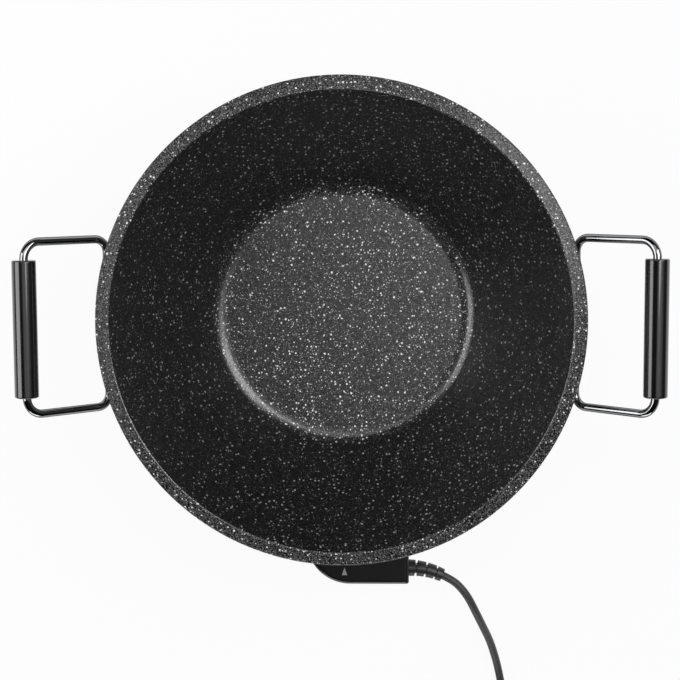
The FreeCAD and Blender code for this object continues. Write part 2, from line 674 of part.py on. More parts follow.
def wok_bowl():
    hollow = bowl_hollow()
    ridge = turned([
        (ELEMENT_RING_R - RIDGE_W / 2, RIDGE_Z), (ELEMENT_RING_R + RIDGE_W / 2, RIDGE_Z),
        (ELEMENT_RING_R + RIDGE_W / 2, FLOOR_Z), (ELEMENT_RING_R - RIDGE_W / 2, FLOOR_Z),
    ])
    ridge = ridge.makeFillet(
        RIDGE_ROUND,
        ring_edges(ridge, ELEMENT_RING_R - RIDGE_W / 2, RIDGE_Z)
        + ring_edges(ridge, ELEMENT_RING_R + RIDGE_W / 2, RIDGE_Z))
    above_floor = FLOOR_Z + HEEL_R
    block = box((-TERMINAL_HALF_W, TERMINAL_HALF_W), (TERMINAL_Y, TERMINAL_BACK_Y), (RIDGE_Z, above_floor))
    block = block.makeFillet(RIDGE_ROUND, edges_in(
        block, (-TERMINAL_HALF_W, TERMINAL_BACK_Y, RIDGE_Z), (TERMINAL_HALF_W, TERMINAL_BACK_Y, RIDGE_Z)))
    probe_boss = box(
        (-PROBE_BOSS_HALF_W, PROBE_BOSS_HALF_W), (TERMINAL_BACK_Y - RIDGE_ROUND, PROBE_BOSS_BACK_Y),
        (RIDGE_Z, FLOOR_Z))
    posts = [
        cylinder(POST_R, polar(POST_CIRCLE_R, a, SHELF_TOP_Z), polar(POST_CIRCLE_R, a, FLOOR_Z))
        for a in POST_ANGLES
    ]
    pads = [handle_pad()]
    pads += [half_turn(pads[0])]
    cast = [piece.cut(hollow) for piece in [ridge, block, probe_boss] + posts + pads]
    bowl = bowl_shell().fuse(cast).removeSplitter()
    bracket_holes = [screw_hole(s, BRACKET_SCREW_L) for s in bracket_screw_spots()]
    holes = bracket_holes + [half_turn(h) for h in bracket_holes]
    holes += [screw_hole(s, BASE_SCREW_L) for s in base_screw_spots()]
    holes += [
        along_y(SCREW_R + SCREW_FIT, x, SHROUD_BACK_Y, SHROUD_BACK_Y + SHROUD_SCREW_L + SCREW_FIT, ELEMENT_Z)
        for x in (-SHROUD_SCREW_X, SHROUD_SCREW_X)
    ]
    holes += [along_y(PROBE_R + PROBE_FIT, 0, TERMINAL_Y - PAST, PROBE_TIP_Y + PROBE_END_GAP, ELEMENT_Z)]
    holes += [cylinder(
        SMALL_SCREW_R + SCREW_FIT, Vector(EARTH_X, EARTH_SCREW_Y, RIDGE_Z - PAST),
        Vector(EARTH_X, EARTH_SCREW_Y, RIDGE_Z - EARTH_T + EARTH_SCREW_L + SCREW_FIT))]
    return without(bowl, holes + [heating_element()])


# ---- base ------------------------------------------------------------------------------------------
def skirt_radius(z):
    """Outside of the conical skirt."""
    share = (z - FOOT_H) / (BASE_TOP_Z - BASE_LIP_ROUND - FOOT_H)
    return BASE_FOOT_R + (BASE_TOP_R - BASE_FOOT_R) * share


def foot_circle_radius():
    """Radius of the feet's centres: their heads lie just inside the skirt."""
    return skirt_radius(FOOT_H + FOOT_RING_T) - BASE_WALL_T - FOOT_HEAD_GAP - FOOT_HEAD_R


def front_cut():
    """Clear space in the base for the terminal block and the inlet."""
    half_w = SHROUD_HALF_W + BASE_SHROUD_GAP
    return box(
        (-half_w, half_w), (-BASE_FOOT_R - PAST, TERMINAL_BACK_Y),
        (SHROUD_Z0 - BASE_SHROUD_GAP, BASE_TOP_Z + PAST))


def base_ring():
    lip_z = BASE_TOP_Z - BASE_LIP_ROUND
    rib_foot_z = FOOT_H + RIB_FOOT
    vent_z = FOOT_H + VENT_SILL
    inside_top = skirt_radius(lip_z) - BASE_WALL_T
    inside_foot = skirt_radius(FOOT_H + FOOT_RING_T) - BASE_WALL_T
    skirt = turned([
        (BASE_FOOT_R, FOOT_H), (skirt_radius(lip_z), lip_z),
        (skirt_radius(lip_z) - BASE_LIP_ROUND, BASE_TOP_Z), (BASE_LIP_R, BASE_TOP_Z),
        (BASE_LIP_R, BASE_TOP_Z - BASE_WALL_T), (inside_top - BASE_LIP_ROUND / 6, BASE_TOP_Z - BASE_WALL_T),
        (inside_top, lip_z - BASE_WALL_T), (inside_foot, FOOT_H + FOOT_RING_T),
        (BASE_FOOT_R - FOOT_RING_W, FOOT_H + FOOT_RING_T), (BASE_FOOT_R - FOOT_RING_W, FOOT_H),
    ])
    in_wall = BASE_WALL_T / 2
    shelf = turned([
        (SHELF_INNER_R, SHELF_Z), (skirt_radius(SHELF_Z) - in_wall, SHELF_Z),
        (skirt_radius(SHELF_TOP_Z) - in_wall, SHELF_TOP_Z), (SHELF_INNER_R, SHELF_TOP_Z),
    ])
    in_shelf = SHELF_Z + SHELF_T / 2
    rib = face_of([
        rz(SHIELD_R + RIB_CLEAR, in_shelf), rz(skirt_radius(SHELF_Z) - in_wall, in_shelf),
        rz(skirt_radius(rib_foot_z) - in_wall, rib_foot_z), rz(SHIELD_R + RIB_CLEAR, SHELF_Z - SHELF_T),
    ]).extrude(Vector(0, RIB_T, 0))
    rib.translate(Vector(0, -RIB_T / 2, 0))
    ribs = around(rib, [(i + 0.5) * 360 / RIB_COUNT for i in range(RIB_COUNT)])
    ring = fused([skirt, shelf] + ribs)
    vent = box(
        (BASE_FOOT_R - FOOT_RING_W, BASE_FOOT_R + PAST), (-VENT_W / 2, VENT_W / 2), (vent_z, vent_z + VENT_H))
    vent = vent.makeFillet(VENT_W * 0.49, [e for e in vent.Edges if abs(e.tangentAt(0).x) > 0.99])
    first = -VENT_STEP * (VENT_COUNT - 1) / 2
    vents = around(vent, [g + first + i * VENT_STEP for g in VENT_GROUPS for i in range(VENT_COUNT)])
    stem_r = foot_circle_radius()
    stems = [
        cylinder(FOOT_STEM_R, polar(stem_r, a, 0), polar(stem_r, a, FOOT_H + FOOT_RING_T + PAST))
        for a in POST_ANGLES
    ]
    hole_r = SCREW_R + SCREW_FIT
    screws = [
        cylinder(hole_r, polar(POST_CIRCLE_R, a, SHELF_Z - PAST), polar(POST_CIRCLE_R, a, BASE_TOP_Z))
        for a in POST_ANGLES
    ]
    return without(ring, vents + stems + screws + [front_cut()])


def heat_shield():
    """Pressed tray under the floor, held between the screws' heads and the base's shelf."""
    top = SHELF_Z
    dish = top - SHIELD_DISH_DEPTH
    tray = turned([
        (0, dish - SHIELD_T), (SHIELD_DISH_R, dish - SHIELD_T), (SHIELD_RIM_INNER_R, top - SHIELD_T),
        (SHIELD_R, top - SHIELD_T), (SHIELD_R, top), (SHIELD_RIM_INNER_R - SHIELD_T, top),
        (SHIELD_DISH_R - SHIELD_T, dish), (0, dish),
    ])
    front = box((-SHIELD_R, SHIELD_R), (-SHIELD_R - PAST, TERMINAL_Y + SHIELD_INLET_GAP), (dish, top + PAST))
    screws = [
        cylinder(SCREW_R + SCREW_FIT, polar(POST_CIRCLE_R, a, dish), polar(POST_CIRCLE_R, a, top + PAST))
        for a in POST_ANGLES
    ]
    return without(tray, screws + [front])


def base_screws():
    return Part.makeCompound([
        screw(SCREW_R, SCREW_HEAD_R, SCREW_HEAD_H, BASE_SCREW_L, seat, pointing)
        for seat, pointing in base_screw_spots()
    ])


def rubber_feet():
    """Four feet, each pushed through the foot ring and held by its head."""
    top = FOOT_H + FOOT_RING_T
    foot = turned([
        (0, 0), (FOOT_R - FOOT_ROUND, 0), (FOOT_R, FOOT_ROUND), (FOOT_R, FOOT_H), (FOOT_STEM_R, FOOT_H),
        (FOOT_STEM_R, top), (FOOT_HEAD_R, top),
        (FOOT_HEAD_R * 0.6, top + FOOT_HEAD_H), (0, top + FOOT_HEAD_H),
    ])
    feet = []
    for angle in POST_ANGLES:
        copy = foot.copy()
        copy.translate(polar(foot_circle_radius(), angle, 0))
        feet.append(copy)
    return Part.makeCompound(feet)


# ---- power inlet -----------------------------------------------------------------------------------
def both_sides(shape):
    return Part.makeCompound([shape, shape.mirror(CENTRE, Vector(1, 0, 0))])


def element_pins():
    straight = along_y(PIN_R, TERMINAL_X, PIN_TIP_Y, TERMINAL_Y, ELEMENT_Z)
    end = [e for e in straight.Edges if abs(e.BoundBox.YMax - PIN_TIP_Y) < 0.01]
    return both_sides(straight.makeFillet(PIN_ROUND, end))


def ceramic_bushes():
    front_y = TERMINAL_Y - BUSH_L
    outside = along_y(BUSH_R, TERMINAL_X, front_y, TERMINAL_Y, ELEMENT_Z)
    front = [e for e in outside.Edges if abs(e.BoundBox.YMax - front_y) < 0.01]
    rounded = outside.makeFillet(BUSH_ROUND, front)
    return both_sides(rounded.cut(along_y(PIN_R, TERMINAL_X, front_y - PAST, TERMINAL_Y + PAST, ELEMENT_Z)))


def inlet_shroud():
    """Moulded collar that guides the controller's nose onto the pins."""
    outside = box((-SHROUD_HALF_W, SHROUD_HALF_W), (SHROUD_MOUTH_Y, SHROUD_BACK_Y), (SHROUD_Z0, SHROUD_Z1))
    outside = outside.makeFillet(SHROUD_ROUND, [e for e in outside.Edges if abs(e.tangentAt(0).y) > 0.99])
    inside_w = SHROUD_HALF_W - SHROUD_WALL_T
    inside_z = (EARTH_LEAF_Z, SHROUD_Z1 - SHROUD_WALL_T)
    inside = box((-inside_w, inside_w), (SHROUD_MOUTH_Y - PAST, SHROUD_BACK_Y), inside_z)
    inside = inside.makeFillet(
        SHROUD_ROUND - SHROUD_WALL_T * 0.5, [e for e in inside.Edges if abs(e.tangentAt(0).y) > 0.99])
    heel = HEEL_R + WALL_T
    back_top = FLOOR_Z + HEEL_R - math.sqrt(heel ** 2 - TERMINAL_OUT ** 2) - BLOCK_BOWL_GAP
    back = box((-SHROUD_HALF_W, SHROUD_HALF_W), (SHROUD_BACK_Y, TERMINAL_Y), (SHROUD_Z0, back_top))
    back = back.makeFillet(SHROUD_ROUND, [
        e for e in back.Edges if abs(e.tangentAt(0).y) > 0.99 and e.BoundBox.ZMax < ELEMENT_Z])
    collar = fused([outside.cut(inside), back])
    y0, y1 = SHROUD_BACK_Y - PAST, TERMINAL_Y + PAST
    holes = [along_y(BUSH_R, x, y0, y1, ELEMENT_Z) for x in (-TERMINAL_X, TERMINAL_X)]
    holes += [along_y(SCREW_R + SCREW_FIT, x, y0, y1, ELEMENT_Z) for x in (-SHROUD_SCREW_X, SHROUD_SCREW_X)]
    holes += [along_y(PROBE_R + PROBE_FIT, 0, y0, y1, ELEMENT_Z)]
    slot = (EARTH_X - EARTH_HALF_W - SCREW_FIT, EARTH_X + EARTH_HALF_W + SCREW_FIT)
    holes += [box(slot, (y0, y1), (EARTH_LEAF_Z, RIDGE_Z + SCREW_FIT))]
    return without(collar, holes)


def shroud_screws():
    return Part.makeCompound([
        screw(
            SCREW_R, SCREW_HEAD_R, SCREW_HEAD_H, SHROUD_SCREW_L, Vector(x, SHROUD_BACK_Y, ELEMENT_Z),
            Vector(0, 1, 0))
        for x in (-SHROUD_SCREW_X, SHROUD_SCREW_X)
    ])


def earth_contact():
    """Bent strip from under the terminal block to the floor of the inlet."""
    x = (EARTH_X - EARTH_HALF_W, EARTH_X + EARTH_HALF_W)
    knee_y = TERMINAL_Y
    strip = fused([
        box(x, (knee_y - EARTH_T, EARTH_SCREW_Y + EARTH_TAB_L), (RIDGE_Z - EARTH_T, RIDGE_Z)),
        box(x, (knee_y - EARTH_T, knee_y), (EARTH_LEAF_Z, RIDGE_Z)),
        box(x, (knee_y - EARTH_LEAF_L, knee_y), (EARTH_LEAF_Z, EARTH_LEAF_Z + EARTH_T)),
    ])
    hole = Vector(EARTH_X, EARTH_SCREW_Y, RIDGE_Z)
    return strip.cut(cylinder(SMALL_SCREW_R + SCREW_FIT, hole - AXIS * (EARTH_T + PAST), hole + AXIS * PAST))


def earth_screw():
    seat = Vector(EARTH_X, EARTH_SCREW_Y, RIDGE_Z - EARTH_T)
    return screw(SMALL_SCREW_R, SMALL_HEAD_R, EARTH_T, EARTH_SCREW_L, seat, AXIS)


# ---- handles ---------------------------------------------------------------------------------------
def knuckle_axis():
    """Point on the axis of the right handle's knuckles."""
    return handle_frame().multVec(Vector(PAD_PROUD + KNUCKLE_R, 0, 0))


def handle_bracket():
    """Pressed plate whose two upper ears are rolled round the wire's ends."""
    centre_x = PAD_PROUD + KNUCKLE_R
    start = Vector(centre_x, -KNUCKLE_Y1, 0)
    width = 2 * KNUCKLE_Y1
    roll = Part.makeCylinder(KNUCKLE_R, width, start, Vector(0, 1, 0))
    roll = roll.cut(Part.makeCylinder(KNUCKLE_R - KNUCKLE_T, width, start, Vector(0, 1, 0)))
    reach = 3 * KNUCKLE_R
    wedge = [start]
    for degrees in (KNUCKLE_OPEN_FROM, (KNUCKLE_OPEN_FROM + KNUCKLE_OPEN_TO) / 2, KNUCKLE_OPEN_TO):
        a = math.radians(degrees)
        wedge.append(start + Vector(math.cos(a), 0, math.sin(a)) * reach)
    roll = roll.cut(face_of(wedge).extrude(Vector(0, width, 0)))
    between = box(
        (PAD_PROUD - PAST, centre_x + KNUCKLE_R + PAST), (-KNUCKLE_Y0, KNUCKLE_Y0),
        (-KNUCKLE_R - PAST, KNUCKLE_R + PAST))
    roll = roll.cut(between)
    plate = box((PAD_PROUD, PAD_PROUD + KNUCKLE_T), (-KNUCKLE_Y1, KNUCKLE_Y1), (-BRACKET_H, 0))
    low = [e for e in plate.Edges if abs(e.tangentAt(0).x) > 0.99 and e.BoundBox.ZMax < -BRACKET_H / 2]
    plate = plate.makeFillet(BRACKET_CORNER_R, low)
    bracket = placed(fused([plate, roll]), handle_frame())
    return without(bracket, [screw_hole(s, BRACKET_SCREW_L) for s in bracket_screw_spots()])


def handle_wire():
    knuckle = knuckle_axis()
    a = math.radians(HANDLE_TILT)
    grip = knuckle + Vector(math.cos(a), 0, math.sin(a)) * HANDLE_REACH

    def at(point, y):
        return Vector(point.x, y, point.z)

    w = HANDLE_HALF_W
    points = [
        at(knuckle, KNUCKLE_Y0), at(knuckle, w), at(grip, w),
        at(grip, -w), at(knuckle, -w), at(knuckle, -KNUCKLE_Y0),
    ]
    bends = [WIRE_INNER_BEND, WIRE_OUTER_BEND, WIRE_OUTER_BEND, WIRE_INNER_BEND]
    return swept(rounded_path(points, bends), WIRE_R)


def grip():
    """Tubular grip on the outer run of the wire."""
    knuckle = knuckle_axis()
    a = math.radians(HANDLE_TILT)
    middle = knuckle + Vector(math.cos(a), 0, math.sin(a)) * HANDLE_REACH
    start = Vector(middle.x, -GRIP_HALF_L, middle.z)
    end = Vector(middle.x, GRIP_HALF_L, middle.z)
    tube = cylinder(GRIP_R, start, end)
    tube = tube.makeFillet(GRIP_END_ROUND, [e for e in tube.Edges if isinstance(e.Curve, Part.Circle)])
    return tube.cut(cylinder(WIRE_R + GRIP_FIT, start - Vector(0, 1, 0), end + Vector(0, 1, 0)))


def bracket_screws():
    right = [
        screw(SCREW_R, SCREW_HEAD_R, SCREW_HEAD_H, BRACKET_SCREW_L, seat, pointing)
        for seat, pointing in bracket_screw_spots()
    ]
    return Part.makeCompound(right + [half_turn(s) for s in right])


# ---- controller ------------------------------------------------------------------------------------
def case_corners(inset):
    """Plan of the case, as (x, y, radius) corners, or of its inside for an inset."""
    left, right = CASE_LEFT_X + inset, CASE_RIGHT_X - inset
    front, back = CASE_FRONT_Y + inset, CASE_BACK_Y - inset
    return [
        (left, front, CASE_CORNER_LEFT_R - inset),
        (right, front, CASE_CORNER_INNER_R if inset else CASE_CORNER_RIGHT_R),
        (right, CASE_SHOULDER_Y, CASE_SHOULDER_R),
        (NOSE_HALF_W + CASE_BACK_R - inset, back, CASE_BACK_R),
        (left, back, CASE_BACK_R - inset),
    ]


def prism(corners, z0, z1):
    return Part.Face(rounded_outline(corners, z0)).extrude(Vector(0, 0, z1 - z0))


def flat_edges(shape, z):
    """Edges that lie in one level."""
    return [e for e in shape.Edges if abs(e.BoundBox.ZMin - z) < 0.01 and abs(e.BoundBox.ZMax - z) < 0.01]


def case_outside():
    body = prism(case_corners(0), CASE_BOTTOM_Z, CASE_TOP_Z)
    body = body.makeFillet(CASE_EDGE_ROUND, flat_edges(body, CASE_TOP_Z))
    body = body.makeFillet(CASE_BOTTOM_ROUND, flat_edges(body, CASE_BOTTOM_Z))
    nose = box((-NOSE_HALF_W, NOSE_HALF_W), (CASE_BACK_Y - 3 * CASE_T, NOSE_FRONT_Y), (NOSE_Z0, NOSE_Z1))
    nose = nose.makeFillet(NOSE_ROUND, [e for e in nose.Edges if abs(e.tangentAt(0).y) > 0.99])
    return fused([body, nose])


def nose_inside():
    half_w = NOSE_HALF_W - CASE_T
    y = (CASE_BACK_Y - 3 * CASE_T, NOSE_FRONT_Y + PAST)
    return box((-half_w, half_w), y, (NOSE_Z0 + CASE_T, NOSE_Z1 - CASE_T))


def case_inside():
    room = prism(case_corners(CASE_T), CASE_FLOOR_Z, CASE_CEILING_Z)
    return fused([room, nose_inside()])


def case_screw_holes():
    holes = []
    for x, y in CASE_SCREW_SPOTS:
        below = Vector(x, y, CASE_BOTTOM_Z - PAST)
        seat = Vector(x, y, CASE_SCREW_SEAT_Z)
        holes.append(cylinder(SMALL_SCREW_R + SCREW_FIT, below, seat + AXIS * (CASE_SCREW_L + SCREW_FIT)))
        holes.append(cylinder(SMALL_HEAD_R + CASE_SCREW_FREE, below, seat))
    return holes


def relief_seat():
    """Round opening in the case's right side for the strain relief."""
    return cylinder(
        RELIEF_R0, Vector(CASE_INSIDE_X - PAST, EXIT_Y, EXIT_Z), Vector(CASE_RIGHT_X + PAST, EXIT_Y, EXIT_Z))


def case_half(upper):
    """One moulded half of the case, with its screw posts."""
    low, high = CASE_BOTTOM_Z - PAST, CASE_TOP_Z + PAST
    keep = (CASE_SPLIT_Z, high) if upper else (low, CASE_SPLIT_Z)
    span = box((CASE_LEFT_X - PAST, CASE_RIGHT_X + PAST), (CASE_FRONT_Y - PAST, NOSE_FRONT_Y + PAST), keep)
    post_z = (CASE_SPLIT_Z, CASE_TOP_Z - CASE_T / 2) if upper else (CASE_BOTTOM_Z + CASE_T / 2, CASE_SPLIT_Z)
    posts = [
        cylinder(CASE_POST_R, Vector(x, y, post_z[0]), Vector(x, y, post_z[1])) for x, y in CASE_SCREW_SPOTS
    ]
    half = case_outside().cut(case_inside()).common(span).fuse(posts).common(case_outside())
    holes = case_screw_holes() + [relief_seat()]
    if upper:
        well_r = SPINDLE_R + DIAL_WELL_CLEAR
        holes.append(cylinder(well_r, Vector(DIAL_X, DIAL_Y, CASE_SPLIT_Z), Vector(DIAL_X, DIAL_Y, high)))
        holes.append(cylinder(LENS_R, Vector(LAMP_X, LAMP_Y, CASE_SPLIT_Z), Vector(LAMP_X, LAMP_Y, high)))
    return without(half, holes).removeSplitter()


def controller_screws():
    return Part.makeCompound([
        screw(SMALL_SCREW_R, SMALL_HEAD_R, SMALL_HEAD_H, CASE_SCREW_L, Vector(x, y, CASE_SCREW_SEAT_Z), AXIS)
        for x, y in CASE_SCREW_SPOTS
    ])


def contact_carrier():
    """Heat-proof block in the nose, with a bore for each sleeve and for the probe."""
    half_w = NOSE_HALF_W - CASE_T - CARRIER_FIT
    half_h = NOSE_HALF_H - CASE_T - CARRIER_FIT
    y = (CASE_BACK_Y + CASE_T, NOSE_FRONT_Y - CARRIER_SET_IN)
    block = box((-half_w, half_w), y, (ELEMENT_Z - half_h, ELEMENT_Z + half_h))
    mouth_r = PIN_R + 2 * SLEEVE_FIT
    holes = [along_y(PROBE_R, 0, CASE_BACK_Y, NOSE_FRONT_Y, ELEMENT_Z)]
    for x in (-TERMINAL_X, TERMINAL_X):
        holes.append(along_y(SLEEVE_R, x, SLEEVE_BACK_Y, SLEEVE_FRONT_Y, ELEMENT_Z))
        holes.append(along_y(mouth_r, x, SLEEVE_FRONT_Y - PAST, NOSE_FRONT_Y, ELEMENT_Z))
    return without(block, holes)


def contact_sleeves():
    tube = along_y(SLEEVE_R, TERMINAL_X, SLEEVE_BACK_Y, SLEEVE_FRONT_Y, ELEMENT_Z)
    bore_r = PIN_R + SLEEVE_FIT
    tube = tube.cut(along_y(bore_r, TERMINAL_X, PIN_TIP_Y - PROBE_END_GAP, NOSE_FRONT_Y, ELEMENT_Z))
    x = (TERMINAL_X - SLEEVE_SLIT / 2, TERMINAL_X + SLEEVE_SLIT / 2)
    slit = box(x, (PIN_TIP_Y, NOSE_FRONT_Y), (ELEMENT_Z, ELEMENT_Z + 2 * SLEEVE_R))
    return both_sides(tube.cut(slit))


def thermostat_probe():
    """Closed tube with a domed tip that reaches under the bowl's floor."""
    tube = along_y(PROBE_R, 0, SWITCH_Y[1], PROBE_TIP_Y, ELEMENT_Z)
    tip = [e for e in tube.Edges if abs(e.BoundBox.YMin - PROBE_TIP_Y) < 0.01]
    return tube.makeFillet(PROBE_R * 0.6, tip)


def thermostat_switch():
    """Switch body under the dial, with a snap arm and its contacts on one side."""
    body = box(SWITCH_X, SWITCH_Y, SWITCH_Z)
    body = body.makeFillet(SWITCH_CORNER_R, [e for e in body.Edges if abs(e.tangentAt(0).z) > 0.99])
    bottom = Vector(DIAL_X, DIAL_Y, SWITCH_Z[1] - SPINDLE_IN_SWITCH)
    socket = cylinder(SPINDLE_R + 2 * SPINDLE_FIT, bottom, bottom + AXIS * (SPINDLE_IN_SWITCH + PAST))
    bay_y = (SWITCH_Y[0] + SWITCH_BAY_END, SWITCH_Y[1] - SWITCH_BAY_END)
    bay_z = SWITCH_Z[0] + SWITCH_BAY_FLOOR
    bay = box((SWITCH_X[0] - PAST, SWITCH_X[0] + SWITCH_BAY_W), bay_y, (bay_z, SWITCH_Z[1] + PAST))
    body = without(body, [socket, bay])
    arm_x = SWITCH_X[0] + SWITCH_BAY_W / 2
    arm_z = bay_z + SNAP_ARM_LIFT
    arm_end = bay_y[1] - SNAP_ARM_SHORT
    across = (arm_x - SNAP_ARM_HALF_W, arm_x + SNAP_ARM_HALF_W)
    arm = box(across, (bay_y[0] - PAST, arm_end), (arm_z, arm_z + SNAP_ARM_T))
    stop_y = arm_end - SNAP_STOP_IN
    stop = cylinder(
        SNAP_STOP_R, Vector(arm_x, stop_y, bay_z - PAST), Vector(arm_x, stop_y, arm_z + SNAP_ARM_T / 2))
    return fused([body, arm, stop])


def terminal_block():
    """Screw block where the cord's wires meet the switch."""
    top = CASE_FLOOR_Z + BLOCK_H
    block = box(BLOCK_X, BLOCK_Y, (CASE_FLOOR_Z, top))
    middle = (BLOCK_Y[0] + BLOCK_Y[1]) / 2
    x = (BLOCK_X[0] + BLOCK_X[1]) / 2
    wire_z = CASE_FLOOR_Z + BLOCK_WIRE_LIFT
    x0, x1 = BLOCK_X[0] - PAST, BLOCK_X[1] + PAST
    tools = []
    for y in (middle - BLOCK_SCREW_STEP, middle, middle + BLOCK_SCREW_STEP):
        tools.append(cylinder(BLOCK_SCREW_R, Vector(x, y, top - BLOCK_SCREW_DEPTH), Vector(x, y, top + PAST)))
        tools.append(cylinder(BLOCK_WIRE_R, Vector(x0, y, wire_z), Vector(x1, y, wire_z)))
    return without(block, tools)


def pilot_lens():
    top = CASE_TOP_Z + LENS_PROUD
    lens = cylinder(LENS_R, Vector(LAMP_X, LAMP_Y, CASE_CEILING_Z), Vector(LAMP_X, LAMP_Y, top))
    return lens.makeFillet(LENS_PROUD * 0.9, flat_edges(lens, top))


def pilot_lamp():
    bottom = CASE_CEILING_Z - LAMP_L
    lamp = cylinder(LAMP_R, Vector(LAMP_X, LAMP_Y, bottom), Vector(LAMP_X, LAMP_Y, CASE_CEILING_Z))
    return lamp.makeFillet(LAMP_R * 0.5, flat_edges(lamp, bottom))


# ---- dial ------------------------------------------------------------------------------------------
def dial():
    """Knob with a skirt for the scale and a fluted grip."""
    z0 = DIAL_Z
    z1 = z0 + DIAL_H
    skirt_z = z0 + DIAL_SKIRT_T
    top_r = DIAL_GRIP_R - DIAL_GRIP_TAPER
    knob = turned([
        (0, z0), (DIAL_R, z0), (DIAL_R, z0 + DIAL_SKIRT_T * 0.6), (DIAL_R - DIAL_SKIRT_T * 0.4, skirt_z),
        (DIAL_GRIP_R, skirt_z), (top_r, z1 - DIAL_TOP_ROUND), (top_r - DIAL_TOP_ROUND, z1), (0, z1),
    ])
    lower = Vector(DIAL_GRIP_R + DIAL_GRIP_TAPER, 0, skirt_z)
    flute = cylinder(FLUTE_R, lower, Vector(DIAL_GRIP_R, 0, z1 + PAST))
    flutes = around(flute, [(i + 0.5) * 360 / DIAL_FLUTES for i in range(DIAL_FLUTES)])
    knob = without(knob, flutes)
    knob.translate(Vector(DIAL_X, DIAL_Y, 0))
    return knob.cut(spindle_bar(z0 - PAST, z0 + SPINDLE_IN_DIAL, SPINDLE_FIT))


def spindle_bar(z0, z1, grow):
    """D-shaped bar on the dial's axis."""
    bar = cylinder(SPINDLE_R + grow, Vector(DIAL_X, DIAL_Y, z0), Vector(DIAL_X, DIAL_Y, z1))
    flat = DIAL_X + SPINDLE_FLAT + grow
    beside = (DIAL_Y - 2 * SPINDLE_R, DIAL_Y + 2 * SPINDLE_R)
    return bar.cut(box((flat, flat + SPINDLE_R), beside, (DIAL_Z - PAST, z1 + PAST)))


def dial_spindle():
    in_switch = SPINDLE_IN_SWITCH - SPINDLE_END_GAP
    return spindle_bar(SWITCH_Z[1] - in_switch, DIAL_Z + SPINDLE_IN_DIAL - SPINDLE_END_GAP, 0)


# ---- strain relief, cord and plug ------------------------------------------------------------------
def relief_point(share, sideways=0.0):
    """Point on the strain relief's bent axis, and its heading there."""
    a = math.radians(RELIEF_TURN * share)
    r = RELIEF_ARC_R + sideways
    point = Vector(CASE_RIGHT_X + r * math.sin(a), EXIT_Y - RELIEF_ARC_R + r * math.cos(a), EXIT_Z)
    return point, Vector(math.cos(a), -math.sin(a), 0)


def relief_disc(share, radius):
    point, heading = relief_point(share)
    return Part.Wire(Part.makeCircle(radius, point, heading))


def strain_relief():
    """Tapered, slotted sleeve, moulded on the cord and held in the case by its flange."""
    steps = 6
    taper = [
        relief_disc(i / steps, RELIEF_R0 + (RELIEF_R1 - RELIEF_R0) * i / steps) for i in range(steps + 1)
    ]
    sleeve = Part.makeLoft(taper, True, True)
    cuts = []
    for share in RELIEF_NOTCH_AT:
        point, heading = relief_point(share)
        radius = RELIEF_R0 + (RELIEF_R1 - RELIEF_R0) * share
        half = heading * (RELIEF_NOTCH_W / 2)
        slab = cylinder(2 * RELIEF_R0, point - half, point + half)
        cuts.append(slab.cut(cylinder(radius - RELIEF_GROOVE, point - half, point + half)))
        side = heading.cross(AXIS)
        for sign in (-1, 1):
            away = side * sign
            inner = point + away * (CORD_R + RELIEF_CORE)
            outer = point + away * (2 * RELIEF_R0)
            wide = heading * (RELIEF_NOTCH_W * 0.9)
            wedge = face_of([inner - half * 0.7, inner + half * 0.7, outer + wide, outer - wide])
            wedge = wedge.extrude(AXIS * (2 * RELIEF_R0))
            wedge.translate(AXIS * -RELIEF_R0)
            cuts.append(wedge)
    sleeve = without(sleeve, cuts)
    inside = Vector(CASE_INSIDE_X, EXIT_Y, EXIT_Z)
    neck = cylinder(RELIEF_R0, inside, Vector(CASE_RIGHT_X, EXIT_Y, EXIT_Z))
    flange = cylinder(RELIEF_FLANGE_R, Vector(FLANGE_X, EXIT_Y, EXIT_Z), inside)
    return fused([sleeve, neck, flange])


def cord_clamp():
    """Saddle that grips the cord's end inside the case."""
    half = CORD_R + CLAMP_SIDE
    saddle = box(CLAMP_X, (EXIT_Y - half, EXIT_Y + half), (CASE_FLOOR_Z, EXIT_Z + CORD_R + CLAMP_COVER))
    x0, x1 = CLAMP_X[0] - PAST, CLAMP_X[1] + PAST
    return saddle.cut(cylinder(CORD_R, Vector(x0, EXIT_Y, EXIT_Z), Vector(x1, EXIT_Y, EXIT_Z)))


def inner_cord():
    """End of the cord inside the case, from the strain relief's flange through the clamp."""
    return cylinder(CORD_R, Vector(CLAMP_X[0] - CORD_END, EXIT_Y, EXIT_Z), Vector(FLANGE_X, EXIT_Y, EXIT_Z))


def cord_radii(points):
    """Bend radius at each inner point: as large as its two runs allow."""
    radii = []
    for before, point, after in zip(points, points[1:], points[2:]):
        turn = (point - before).getAngle(after - point)
        shorter = min((point - before).Length, (after - point).Length)
        radii.append(0.45 * shorter / math.tan(turn / 2))
    return radii


def cord_tube(name, points):
    radii = cord_radii(points)
    path = rounded_path(points, radii)
    tube = swept(path, CORD_R)
    ideal = math.pi * CORD_R ** 2 * path.Length
    print(name, "length %.0f" % path.Length, "radii", " ".join("%.0f" % r for r in radii),
          "volume / ideal %.4f" % (tube.Volume / ideal))
    return tube


def cord_route():
    """From the strain relief's tip, down to the table and forward to the coil."""
    tip, heading = relief_point(1)
    end = Vector(COIL_LEAD_X, COIL_Y, CORD_R + CORD_LIFT)
    return [tip, tip + heading * CORD_STRAIGHT] + [Vector(*p) for p in CORD_POINTS] + [end]


def coil():
    """Outer shape of the stored turns."""
    at = Vector(COIL_X, COIL_Y, 0)
    return Part.makeCylinder(COIL_OUTER_R, COIL_H, at).cut(Part.makeCylinder(COIL_INNER_R, COIL_H, at))


def power_cord():
    return cord_tube("power_cord", cord_route()).cut(coil())


